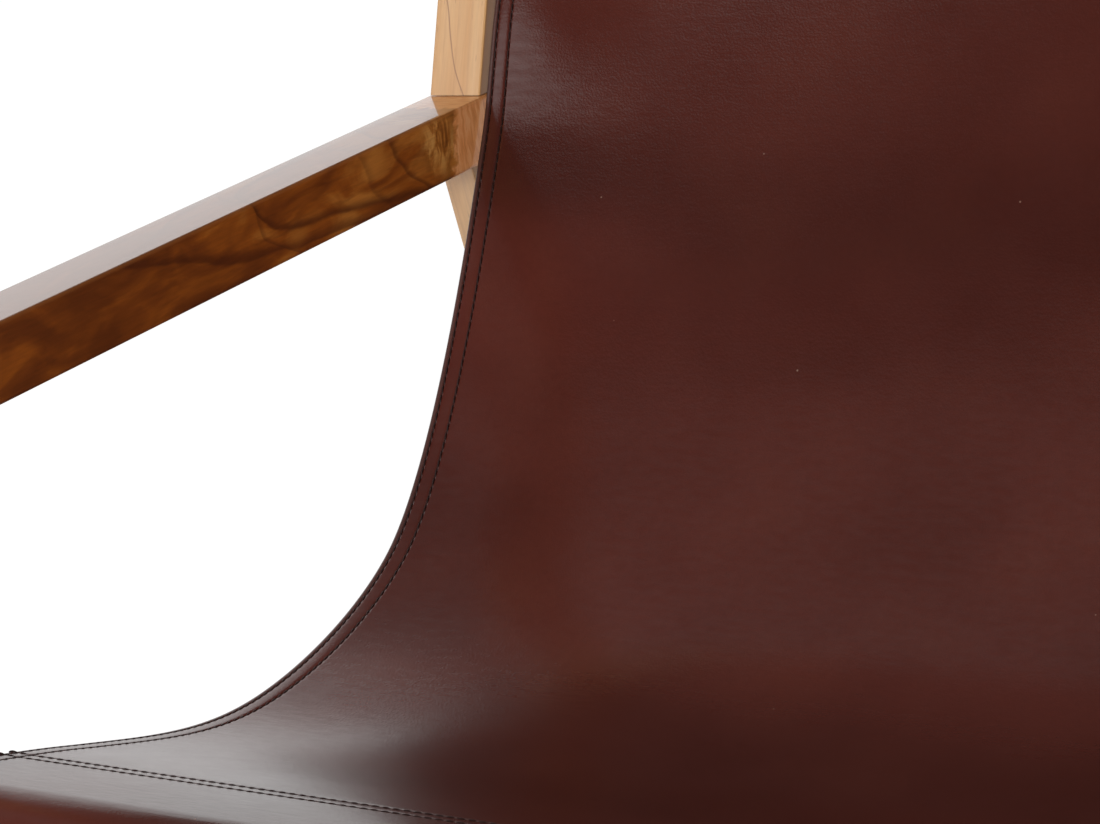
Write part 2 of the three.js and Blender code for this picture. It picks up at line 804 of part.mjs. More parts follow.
// The origin is on the floor, in the middle of the chair's length and width
const box = new THREE.Box3().setFromObject(chair);
chair.position.y = -(box.min.y + box.max.y) / 2;
chair.updateMatrixWorld(true);

export default chair;
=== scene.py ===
"""Looks of a leather sling lounge chair: a waxed leather sling in a lacquered timber frame."""
from math import acos, atan2, cos, pi, radians, sin

import bmesh
import bpy
import numpy as np
from mathutils import Matrix, Vector, noise


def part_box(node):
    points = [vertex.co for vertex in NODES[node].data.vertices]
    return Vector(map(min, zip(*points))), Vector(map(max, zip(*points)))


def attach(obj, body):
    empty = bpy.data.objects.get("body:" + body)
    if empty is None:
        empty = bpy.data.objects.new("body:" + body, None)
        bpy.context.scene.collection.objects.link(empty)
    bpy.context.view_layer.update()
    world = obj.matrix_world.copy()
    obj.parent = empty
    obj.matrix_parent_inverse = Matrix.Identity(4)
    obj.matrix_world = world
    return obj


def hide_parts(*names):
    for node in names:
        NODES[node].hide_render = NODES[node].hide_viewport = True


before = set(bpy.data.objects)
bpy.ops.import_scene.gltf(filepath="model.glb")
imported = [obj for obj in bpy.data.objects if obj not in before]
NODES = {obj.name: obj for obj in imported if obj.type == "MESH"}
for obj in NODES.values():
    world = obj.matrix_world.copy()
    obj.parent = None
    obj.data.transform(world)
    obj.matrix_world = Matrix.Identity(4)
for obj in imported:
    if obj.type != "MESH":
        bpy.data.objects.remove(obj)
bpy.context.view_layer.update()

MM = 0.001

# Small helpers

SMOOTH = {"interpolation_type": "SMOOTHSTEP"}


def linear(hex_colour):
    """An sRGB hex colour as linear RGBA."""
    channels = [int(hex_colour[i:i + 2], 16) / 255 for i in (1, 3, 5)]
    return (*[c / 12.92 if c <= 0.04045 else ((c + 0.055) / 1.055) ** 2.4 for c in channels], 1.0)


def set_inputs(tree, node, inputs):
    """Sets a node's inputs: a dict names them, and a list goes by the order of its live sockets. A socket
    is linked, and a node stands for its first live output."""
    live = [socket for socket in node.inputs if socket.enabled]
    by_name = {socket.name: socket for socket in reversed(live)}
    for key, value in inputs.items() if isinstance(inputs, dict) else enumerate(inputs):
        target = by_name[key] if isinstance(key, str) else live[key]
        if isinstance(value, bpy.types.Node):
            value = next(socket for socket in value.outputs if socket.enabled)
        if isinstance(value, bpy.types.NodeSocket):
            tree.links.new(value, target)
        else:
            target.default_value = value


def add(tree, kind, inputs=(), stops=(), curve=(), **settings):
    """Adds a node with its settings, inputs, stops and curve. A kind without Node in it is a shader's."""
    new = tree.nodes.new(kind if "Node" in kind else "ShaderNode" + kind)
    for name, value in settings.items():
        setattr(new, name, value)
    set_inputs(tree, new, inputs)
    if stops:
        elements = new.color_ramp.elements
        while len(elements) < len(stops):
            elements.new(1.0)
        for element, (place, colour) in zip(elements, stops):
            element.position = place
            element.color = linear(colour)
    if curve:
        line = new.mapping.curves[0]
        while len(line.points) < len(curve):
            line.points.new(0.5, 0.5)
        for point, place in zip(line.points, curve):
            point.location = place
        new.mapping.update()
    return new


def cleared_tree(owner):
    """The node tree of a material or a world, emptied."""
    owner.use_nodes = True
    owner.node_tree.nodes.clear()
    return owner.node_tree


def blank_material(name):
    """A material with only a Principled shader on its output."""
    material = bpy.data.materials.new(name)
    tree = cleared_tree(material)
    shader = add(tree, "BsdfPrincipled")
    add(tree, "OutputMaterial", {"Surface": shader})
    return material, tree, shader


def placed(name, data):
    """A new object in the scene."""
    made = bpy.data.objects.new(name, data)
    bpy.context.scene.collection.objects.link(made)
    return made


def plain_mesh(piece):
    """What a piece's modifiers make of it, as a mesh of its own."""
    return bpy.data.meshes.new_from_object(piece.evaluated_get(bpy.context.evaluated_depsgraph_get()))


def set_vectors(mesh, name, vectors):
    """Gives every point of a mesh a vector of its own."""
    attribute = mesh.attributes.new(name, "FLOAT_VECTOR", "POINT")
    attribute.data.foreach_set("vector", np.asarray(vectors, np.float32).ravel())


def drop_attribute(mesh, name):
    """Removes an attribute where a mesh has it."""
    if name in mesh.attributes:
        mesh.attributes.remove(mesh.attributes[name])


def smooth_step(value, low, high):
    """0 below low and 1 above high, with a soft rise between them."""
    share = np.clip((np.asarray(value, float) - low) / (high - low), 0, 1)
    return share * share * (3 - 2 * share)


# Camera

# Fitted to the straight timber edges of the photograph
LENS_MM = 98.18
SENSOR_MM = 36
CAMERA_REACH = (0.05, 60)
CAMERA_PLACE = Vector((0.5450, -1.0760, 0.8772))
CAMERA_TURN = radians(32.52)
CAMERA_PITCH = radians(17.88)
CAMERA_ROLL = radians(7.44)


def add_camera():
    """The photograph's camera: turned from the chair's front, pitched down and rolled."""
    forward = Vector((-sin(CAMERA_TURN) * cos(CAMERA_PITCH), cos(CAMERA_TURN) * cos(CAMERA_PITCH),
                      -sin(CAMERA_PITCH)))
    level = Vector((cos(CAMERA_TURN), sin(CAMERA_TURN), 0))
    above = level.cross(forward)
    right = cos(CAMERA_ROLL) * level - sin(CAMERA_ROLL) * above
    up = sin(CAMERA_ROLL) * level + cos(CAMERA_ROLL) * above
    data = bpy.data.cameras.new("photo_camera")
    data.lens = LENS_MM
    data.sensor_width = SENSOR_MM
    data.clip_start, data.clip_end = CAMERA_REACH
    camera = placed("photo_camera", data)
    turn = Matrix((right, up, -forward)).transposed().to_4x4()
    camera.matrix_world = Matrix.Translation(CAMERA_PLACE) @ turn
    bpy.context.scene.camera = camera


# Studio

WHITE = (1, 1, 1, 1)
PLAIN_LEVEL = 0.3
# What gloss alone shows: a white backdrop behind the chair that ends at a slanting edge and fades upwards,
# one soft box at the front left, a dim ceiling, and a near-black room. A way is a direction from the chair,
# and each pair says where a level starts and stops changing, as a share along its way.
BACKDROP_LEVEL = 1.08
BACKDROP_WAY = (-0.25, 0.968, 0.0)
BACKDROP_STARTS = (-0.05, 0.35)
BACKDROP_EDGE_WAY = (-0.843, -0.476, -0.25)
BACKDROP_EDGE = (-0.03, 0.03)
BACKDROP_FADES = (0.45, 0.77)
SOFTBOX_WAY = (-0.615, -0.727, 0.304)
SOFTBOX_LEVEL = 1.4
SOFTBOX_RIM = (0.947, 0.981)
CEILING_LEVEL = 0.2
CEILING_STARTS = (0.64, 0.72)
ROOM_LEVEL = 0.01
# The floor in gloss, in metres across from the chair's middle
FLOOR_GLOSS_BESIDE = 0.9
FLOOR_GLOSS_BEHIND = 0.2
FLOOR_GLOSS_TURNS = (-0.75, -0.35)
# What the camera sees of the floor, besides its lit paper: a little less under the chair, where its shadow
# is kept, and more far away, where the lamps don't reach. Each pair is in metres from the chair's middle.
FLOOR_SEEN = 0.86
FLOOR_UNDER_CHAIR = -0.09
FLOOR_UNDER_ENDS = (0.35, 0.85)
FLOOR_FAR_AWAY = 0.08
FLOOR_FAR_STARTS = (1.6, 4.5)
FLOOR_HALF = 14.0
PAPER_SEEN = (0.28, 0.28, 0.28, 1)
PAPER_LIT = (0.8, 0.8, 0.79, 1)
# Each lamp's name, place, aim, side in metres and watts
LAMPS = [
    ("front_key", (1.75, -2.65, 2.4), (0, 0, 0.45), 1.6, 82),
    ("front_left_fill", (-2.4, -2.2, 1.8), (0, 0, 0.45), 2.0, 44),
    ("overhead_fill", (0, 0.6, 3.2), (0, 0, 0.4), 2.6, 12),
]


def studio_floor():
    """A pale floor that reads white to the camera and in gloss, and keeps the chair's shadow."""
    material = bpy.data.materials.new("studio_floor_paper")
    tree = cleared_tree(material)
    path = add(tree, "LightPath")
    camera_ray = path.outputs["Is Camera Ray"]
    seen = add(tree, "Math", [camera_ray, path.outputs["Is Glossy Ray"]], operation="MAXIMUM")
    place = add(tree, "TexCoord").outputs["Object"]
    aside = add(tree, "SeparateXYZ", [place]).outputs["X"]
    in_gloss = add(tree, "MapRange", [aside, *FLOOR_GLOSS_TURNS, FLOOR_GLOSS_BESIDE, FLOOR_GLOSS_BEHIND],
                   **SMOOTH)
    away = add(tree, "VectorMath", [place], operation="LENGTH")
    near = add(tree, "MapRange", [away, *FLOOR_UNDER_ENDS, FLOOR_SEEN + FLOOR_UNDER_CHAIR, FLOOR_SEEN],
               **SMOOTH)
    far = add(tree, "MapRange", [away, *FLOOR_FAR_STARTS, 0.0, FLOOR_FAR_AWAY], **SMOOTH)
    in_view = add(tree, "Math", [near, far], operation="ADD")
    level = add(tree, "Mix", [camera_ray, in_gloss, in_view], data_type="FLOAT")
    glow = add(tree, "Emission", {"Color": WHITE, "Strength": level})
    bright = add(tree, "AddShader", [glow, add(tree, "BsdfDiffuse", {"Color": PAPER_SEEN})])
    plain = add(tree, "BsdfDiffuse", {"Color": PAPER_LIT})
    add(tree, "OutputMaterial", {"Surface": add(tree, "MixShader", [seen, plain, bright])})
    mesh = bpy.data.meshes.new("studio_floor")
    corners = [(x * FLOOR_HALF, y * FLOOR_HALF, 0) for x, y in ((-1, -1), (1, -1), (1, 1), (-1, 1))]
    mesh.from_pydata(corners, [], [(0, 1, 2, 3)])
    mesh.materials.append(material)
    placed("studio_floor", mesh)


def studio_surround():
    """White to the camera, an even low level for plain light, and a backdrop in a dark room for gloss."""
    world = bpy.data.worlds.new("studio_surround")
    bpy.context.scene.world = world
    tree = cleared_tree(world)
    way = add(tree, "TexCoord").outputs["Generated"]
    height = add(tree, "SeparateXYZ", [way]).outputs["Z"]
    behind, inside, toward_box = [add(tree, "VectorMath", [way, facing], operation="DOT_PRODUCT")
                                  for facing in (BACKDROP_WAY, BACKDROP_EDGE_WAY, SOFTBOX_WAY)]
    white_behind, within, low, softbox, ceiling = [add(tree, "MapRange", levels, **SMOOTH) for levels in (
        [behind, *BACKDROP_STARTS, 0.0, 1.0],
        [inside, *BACKDROP_EDGE, 0.0, 1.0],
        [height, *BACKDROP_FADES, BACKDROP_LEVEL, 0.0],
        [toward_box, *SOFTBOX_RIM, 0.0, SOFTBOX_LEVEL],
        [height, *CEILING_STARTS, ROOM_LEVEL, CEILING_LEVEL],
    )]
    sheet = add(tree, "Math", [white_behind, within], operation="MULTIPLY")
    backdrop = add(tree, "Math", [sheet, low, ceiling], operation="MULTIPLY_ADD")
    gloss = add(tree, "Math", [backdrop, softbox], operation="ADD")
    path = add(tree, "LightPath").outputs
    lit = add(tree, "Mix", [path["Is Glossy Ray"], PLAIN_LEVEL, gloss], data_type="FLOAT")
    strength = add(tree, "Mix", [path["Is Camera Ray"], lit, 1.0], data_type="FLOAT")
    add(tree, "OutputWorld", {"Surface": add(tree, "Background", {"Color": WHITE, "Strength": strength})})


def add_studio():
    """The floor, the surroundings, and soft lamps that gloss doesn't show."""
    studio_floor()
    studio_surround()
    for name, place, aim, side, watts in LAMPS:
        data = bpy.data.lights.new(name, "AREA")
        data.size = side
        data.energy = watts
        lamp = placed(name, data)
        lamp.location = place
        lamp.rotation_euler = (Vector(aim) - Vector(place)).to_track_quat("-Z", "Y").to_euler()
        lamp.visible_camera = False
        lamp.visible_glossy = False


# The sling's side view, in millimetres

POST_FOOT_Y = 202.21
TOP_RAIL = np.array([297.02, 755.0])
FRONT_RAIL = np.array([-289.79, 384.0])
ARM_INNER_X = 286.0
TOP_RAIL_RADIUS = 14.0
FRONT_RAIL_RADIUS = 16.0
RAIL_ROOM = 0.3
LEATHER = 3.5
SAG = 5.0
HALF_SLING = 284.1
# From rail to rail: how far the face leans from upright, where it passes, and its curve handles as shares
SLING_LEANS = [radians(a) for a in (12.8, 28.2, 58.5, 90.0, 106.0)]
SLING_PLACES = [None, (POST_FOOT_Y + 2, 562.0), (POST_FOOT_Y - 142.5, 365.0), (POST_FOOT_Y - 259, 338.3),
                None]
HANDLE_SHARES = [(0.40, 0.35), (0.31, 0.23), (0.21, 0.43), (0.29, 0.50)]
STRETCH_STEPS = 160
# The pockets: where each closes behind the sheet, its sewn flap, and the steps of its wrap and way back
POCKET_CLOSES = 46.0
FLAP = 26.0
LAYER_SLACK = 0.15
CLOSING_HANDLE_SHARE = 0.4
WRAP_STEPS = 120
CLOSING_STEPS = 60
# The sheet is open between its pockets, and its folds and waves fade out a little short of them
OPEN_FROM = 6.0
OPEN_FADE = 25.0

# Across the sling: a folded hem along each side, sewn with two rows
HEM_ROWS = (3.6, 11.7)
HEM_WIDTH = 15.0
HEM_STEP = 1.0
HEM_STEP_HALF = 0.35
GROOVE_DEPTH = 0.42
GROOVE_HALF = 0.55
PILLOW_HEIGHT = 0.13
PILLOW_HALF = 2.6
PILLOW_BEHIND_SHARE = 0.6
SEAM_ROWS = (52.0, 60.0)
SEAM_ENDS = (2.5, 5.0)
# The leather's waves: how far one reaches across and along, its share of the height, and its seed
WAVE_HEIGHT = 0.35
WAVES = [(150, 210, 1.0, 3.7), (62, 80, 0.45, 9.1)]
# The swell in each upper corner: it rises and falls down the sheet, and has a middle and a width across it
SWELL_HEIGHT = 4.6
SWELL_RISES = (40.0, 160.0)
SWELL_FALLS = (170.0, 235.0)
SWELL_MIDDLE = 262.0
SWELL_WIDTH = 42.0
# The mesh's columns, by a side edge, about its grooves, by its hem and toward the middle, and its rows
EDGE_ANGLES = range(0, 91, 18)
GROOVE_COLUMNS = (-1.1, -0.7, -0.4, 0, 0.4, 0.7, 1.1)
HEM_COLUMNS = (5.6, 6.6, 7.65, 8.7, 9.7, 13.7, 14.6, 14.85, 15.15, 15.4, 17, 20, 26, 36, 50, 70, 94)
MIDDLE_COLUMNS_FROM = 120
MIDDLE_COLUMNS_APART = 24
ROWS_APART = 4.6
BEND_ROWS_APART = 2.2
BEND_ROWS_INSET = 2
BEND_ROWS_PAST = 8
SEAM_ROWS_ABOUT = (-1.2, -0.7, -0.35, 0, 0.35, 0.7, 1.2)
LEAST_APART = 0.3
GRAIN_EDGE_COLUMNS = 10


def upward(lean):
    """Square to the leather on the sitter's side, where it leans back by an angle from upright."""
    return np.array([-cos(lean), sin(lean)])


def downward(lean):
    """Along the leather toward the seat's front, where it leans back by an angle from upright."""
    return np.array([-sin(lean), -cos(lean)])


def bezier(start, first, second, end, steps):
    """Points of a cubic curve from its start, its two handles and its end."""
    t = np.linspace(0, 1, steps + 1)[:, None]
    return (1 - t) ** 3 * start + 3 * (1 - t) ** 2 * t * first + 3 * (1 - t) * t ** 2 * second + t ** 3 * end


def run_length(line):
    """How far along a line each of its points lies."""
    return np.concatenate([[0], np.cumsum(np.linalg.norm(np.diff(line, axis=0), axis=1))])


def outward(line):
    """Unit normals of a line in side view, on the sitter's side of a run down from the top rail."""
    run = np.gradient(line, axis=0)
    run /= np.linalg.norm(run, axis=1)[:, None]
    return np.stack([run[:, 1], -run[:, 0]], axis=1)


def sheet_line():
    """The sitter's face of the sling, from the top rail to the front rail."""
    places = [None if p is None else np.array(p) for p in SLING_PLACES]
    places[0] = TOP_RAIL + upward(SLING_LEANS[0]) * (TOP_RAIL_RADIUS + RAIL_ROOM + LEATHER)
    places[-1] = FRONT_RAIL + upward(SLING_LEANS[-1]) * (FRONT_RAIL_RADIUS + RAIL_ROOM + LEATHER)
    pieces = []
    for i, (leaving, arriving) in enumerate(HANDLE_SHARES):
        start, end = places[i], places[i + 1]
        chord = np.linalg.norm(end - start)
        first = start + downward(SLING_LEANS[i]) * chord * leaving
        second = end - downward(SLING_LEANS[i + 1]) * chord * arriving
        stretch = bezier(start, first, second, end, STRETCH_STEPS)
        pieces.append(stretch if i == 0 else stretch[1:])
    return np.concatenate(pieces)


def pocket_line(from_end, facing, centre, radius, turn):
    """The leather's outer face from the sheet's end round its rail, back behind the sheet and along to the
    flap's tip. Also says how far behind the sheet each point is, as a share, and how the sheet faces."""
    far = run_length(from_end)
    behind = from_end - facing * (2 * LEATHER + LAYER_SLACK)
    flap = (far >= POCKET_CLOSES) & (far <= POCKET_CLOSES + FLAP)
    closing = behind[flap][0]
    heading = behind[flap][1] - closing
    heading /= np.linalg.norm(heading)
    outer = radius + RAIL_ROOM + LEATHER
    start = atan2(facing[0][1], facing[0][0])
    aim = closing - centre
    to_aim = ((atan2(aim[1], aim[0]) - start) * turn) % (2 * pi)
    sweep = to_aim - acos(outer / np.linalg.norm(aim))
    angles = start + turn * sweep * np.linspace(0, 1, WRAP_STEPS)
    wrap = centre + outer * np.stack([np.cos(angles), np.sin(angles)], axis=1)
    leaving = turn * np.array([-sin(angles[-1]), cos(angles[-1])])
    reach = np.linalg.norm(closing - wrap[-1]) * CLOSING_HANDLE_SHARE
    back = bezier(wrap[-1], wrap[-1] + leaving * reach, closing - heading * reach, closing, CLOSING_STEPS)
    line = np.concatenate([wrap[1:], back[1:], behind[flap][1:]])
    on_rail = WRAP_STEPS - 1
    closeness = np.concatenate([np.zeros(on_rail), np.linspace(0, 1, CLOSING_STEPS + 1)[1:],
                                np.ones(flap.sum() - 1)])
    behind_what = np.concatenate([np.repeat(facing[flap][:1], on_rail + CLOSING_STEPS, axis=0),
                                  facing[flap][1:]])
    return line, closeness, behind_what


def sling_ribbon():
    """The whole leather as one ribbon in side view: flap, top pocket, sheet, front pocket, flap. Also says
    between which places along it the sheet hangs."""
    sheet = sheet_line()
    facing = outward(sheet)
    facing[0], facing[-1] = upward(SLING_LEANS[0]), upward(SLING_LEANS[-1])
    along = run_length(sheet)
    total = along[-1]
    share = np.sin(pi * along / total) ** 2
    flap_share = sin(pi * (POCKET_CLOSES + FLAP / 2) / total) ** 2
    top, top_close, top_face = pocket_line(sheet, facing, TOP_RAIL, TOP_RAIL_RADIUS, -1)
    front, front_close, front_face = pocket_line(sheet[::-1], facing[::-1], FRONT_RAIL, FRONT_RAIL_RADIUS, 1)
    line = np.concatenate([top[::-1], sheet, front])
    droop = np.concatenate([
        (-top_face * (top_close * flap_share)[:, None])[::-1],
        -facing * share[:, None],
        -front_face * (front_close * flap_share)[:, None],
    ])
    length = run_length(line)
    sheet_ends = length[len(top)], length[len(top) + len(sheet) - 1]
    return {"line": line, "length": length, "facing": outward(line), "droop": droop}, sheet_ends


RIBBON, (SHEET_FROM, SHEET_TO) = sling_ribbon()
RIBBON_END = RIBBON["length"][-1]
# Places of the pocket seams along the ribbon: on the sheet, and on each flap behind it
SHEET_SEAMS = [SHEET_FROM + s for s in SEAM_ROWS] + [SHEET_TO - s for s in SEAM_ROWS]
FLAP_SEAMS = ([POCKET_CLOSES + FLAP - s for s in SEAM_ROWS]
              + [RIBBON_END - POCKET_CLOSES - FLAP + s for s in SEAM_ROWS])


def along_ribbon(key, places):
    """A pair of the ribbon's values at places in mm along it."""
    values = RIBBON[key]
    return np.stack([np.interp(places, RIBBON["length"], values[:, i]) for i in (0, 1)], axis=1)


def groove(distance):
    """How deep the thread has pulled the leather in, at a distance from its row."""
    return GROOVE_DEPTH * np.exp(-(distance / GROOVE_HALF) ** 2)


def sheet_share(places):
    """1 on the open part of the sheet, 0 on the rails, pockets and flaps."""
    first = SHEET_FROM + POCKET_CLOSES + FLAP + OPEN_FROM
    last = SHEET_TO - POCKET_CLOSES - FLAP - OPEN_FROM
    return (smooth_step(places, first, first + OPEN_FADE)
            * (1 - smooth_step(places, last - OPEN_FADE, last)))


def face_depth(places, across, front):
    """How deep the surface lies under the leather's nominal outer face, in mm, along and across."""
    edge = HALF_SLING - np.abs(across)
    half = LEATHER / 2
    rounding = half - np.sqrt(np.clip(half ** 2 - np.clip(half - edge, 0, half) ** 2, 0, None))
    rows = sum(groove(edge - row) for row in HEM_ROWS)
    pillow = PILLOW_HEIGHT * np.exp(-((edge - sum(HEM_ROWS) / 2) / PILLOW_HALF) ** 4)
    open_share = sheet_share(places)
    if front:
        seams = sum(groove(places - s) for s in SHEET_SEAMS + FLAP_SEAMS) * smooth_step(edge, *SEAM_ENDS)
        return rounding + rows - pillow + seams
    step = HEM_STEP * smooth_step(edge, HEM_WIDTH - HEM_STEP_HALF, HEM_WIDTH + HEM_STEP_HALF) * open_share
    return LEATHER - rounding - rows * open_share + pillow * open_share * PILLOW_BEHIND_SHARE - step


def undulation(places, across):
    """The leather's own slight waviness between the rails, in mm, and a swell in each upper corner."""
    wave = np.array([
        sum(share * noise.noise(Vector((a / wide, p / long, seed))) for wide, long, share, seed in WAVES)
        for p, a in zip(places.ravel(), across.ravel())
    ]).reshape(places.shape)
    return WAVE_HEIGHT * wave * sheet_share(places) + corner_swell(places, across)


def corner_swell(places, across):
    """Where the sling passes the arms its upper corners stand a little towards the sitter."""
    from_top = places - SHEET_FROM
    down = (1 - smooth_step(from_top, *SWELL_FALLS)) * smooth_step(from_top, *SWELL_RISES)
    beside = np.exp(-((np.abs(across) - SWELL_MIDDLE) / SWELL_WIDTH) ** 2)
    return SWELL_HEIGHT * down * beside


def leather_points(places, across, front, lift=0.0):
    """Points of the leather's outer or inner face in metres, for arrays of mm along the ribbon and across
    it. Also says which way the leather faces there, in side view."""
    places, across = np.broadcast_arrays(np.asarray(places, float), np.asarray(across, float))
    flat_places = places.ravel()
    line = along_ribbon("line", flat_places)
    facing = along_ribbon("facing", flat_places)
    facing /= np.linalg.norm(facing, axis=1)[:, None]
    droop = along_ribbon("droop", flat_places)
    sag = SAG * (1 - (across.ravel() / HALF_SLING) ** 2)
    depth = face_depth(places, across, front).ravel() - lift * (1 if front else -1)
    depth = depth - undulation(places, across).ravel()
    side_view = line - facing * depth[:, None] + droop * sag[:, None]
    return np.column_stack([across.ravel(), side_view]) * MM, facing


def across_places():
    """Distances from one side edge to the middle, close together where the hem and its grooves are."""
    rounded = LEATHER / 2 * (1 - np.cos(np.radians(EDGE_ANGLES)))
    rows = [row + step for row in HEM_ROWS for step in GROOVE_COLUMNS]
    inner = np.arange(MIDDLE_COLUMNS_FROM, HALF_SLING - 1, MIDDLE_COLUMNS_APART)
    left = np.sort(np.concatenate([rounded, rows, HEM_COLUMNS, inner])) - HALF_SLING
    return np.concatenate([left, [0.0], -left[::-1]])


def along_places():
    """Places along the ribbon, every few mm, and closer on the rails' bends and at the seams."""
    usual = np.linspace(0, RIBBON_END, int(RIBBON_END / ROWS_APART))
    top_bend = np.arange(BEND_ROWS_INSET, SHEET_FROM + BEND_ROWS_PAST, BEND_ROWS_APART)
    front_bend = np.arange(SHEET_TO - BEND_ROWS_PAST, RIBBON_END - BEND_ROWS_INSET, BEND_ROWS_APART)
    seams = [s + step for s in SHEET_SEAMS + FLAP_SEAMS for step in SEAM_ROWS_ABOUT]
    every = np.sort(np.concatenate([usual, top_bend, front_bend, seams]))
    kept = [every[0]]
    for place in every[1:]:
        if place - kept[-1] > LEAST_APART:
            kept.append(place)
    return np.array(kept)


def end_faces(base, columns, ring):
    """Closes one end of the ribbon, between its outer and its inner face."""
    faces = []
    for c in range(columns - 1):
        corners = (base + c, base + c + 1, base + ring - c - 1, base + (ring - c) % ring)
        if c == 0:
            corners = (base, base + 1, base + ring - 1)
        if c == columns - 2:
            corners = (base + c, base + c + 1, base + columns)
        faces.append(corners)
    return faces


def make_sling(grain, flesh):
    """The sling: one leather ribbon with rounded folded hems, closed all round. Every row of its mesh is a
    ring, across the outer face and back across the inner one. The grain side's finish goes round onto the
    hems."""
    along, across = along_places(), across_places()
    grid = np.meshgrid(along, across, indexing="ij")
    rows, columns = len(along), len(across)
    ring = 2 * columns - 2
    outer, inner = [leather_points(*grid, front)[0].reshape(rows, columns, 3) for front in (True, False)]
    points = np.concatenate([outer, inner[:, 1:-1][:, ::-1]], axis=1).reshape(-1, 3)
    faces = []
    for r in range(rows - 1):
        for c in range(ring):
            here, side = r * ring + c, r * ring + (c + 1) % ring
            faces.append((here, side, side + ring, here + ring))
    round_faces = len(faces)
    faces += [corners[::-1] for corners in end_faces(0, columns, ring)]
    faces += end_faces((rows - 1) * ring, columns, ring)
    mesh = bpy.data.meshes.new("sling_leather")
    mesh.from_pydata(points.tolist(), [], faces)
    mesh.materials.append(grain)
    mesh.materials.append(flesh)
    for face in mesh.polygons:
        column = face.index % ring
        has_grain = column < columns - 1 + GRAIN_EDGE_COLUMNS or column >= ring - GRAIN_EDGE_COLUMNS
        face.material_index = 0 if face.index < round_faces and has_grain else 1
        face.use_smooth = True
    hide = np.zeros((rows, ring, 3))
    hide[:, :, 0] = np.concatenate([across, across[1:-1][::-1]])
    hide[:, :, 1] = (along - SHEET_FROM)[:, None]
    set_vectors(mesh, "hide", hide)
    check = bmesh.new()
    check.from_mesh(mesh)
    bmesh.ops.recalc_face_normals(check, faces=check.faces)
    check.to_mesh(mesh)
    check.free()
    return placed("sling_leather", mesh)


# Stitching

# In mm, and the slant of a stitch in its row in radians, with how far it strays
STITCH_PITCH = 4.9
STITCH_LENGTH = 4.5
STITCH_DIVE = 0.9
THREAD_RADIUS = 0.5
STITCH_SLANT = radians(8)
SLANT_STRAYS = 0.07
# How far out and how high a stitch's curve handles are, as a share of its length and of its dive
BOW_SHARE = 0.36
BOW_STEPS = 6
STRAND_SIDES = 6
STITCH_RISE = GROOVE_DEPTH - 0.12
ROW_STEP = 2.0
# How far the rows stop short of the flaps' tips, of the pockets and of the side edges
WHOLE_ROW_INSET = 1.5
OPEN_ROW_INSET = 2
POCKET_ROW_INSET = 2.4
HEM_SEED = 4
POCKET_SEED = 9


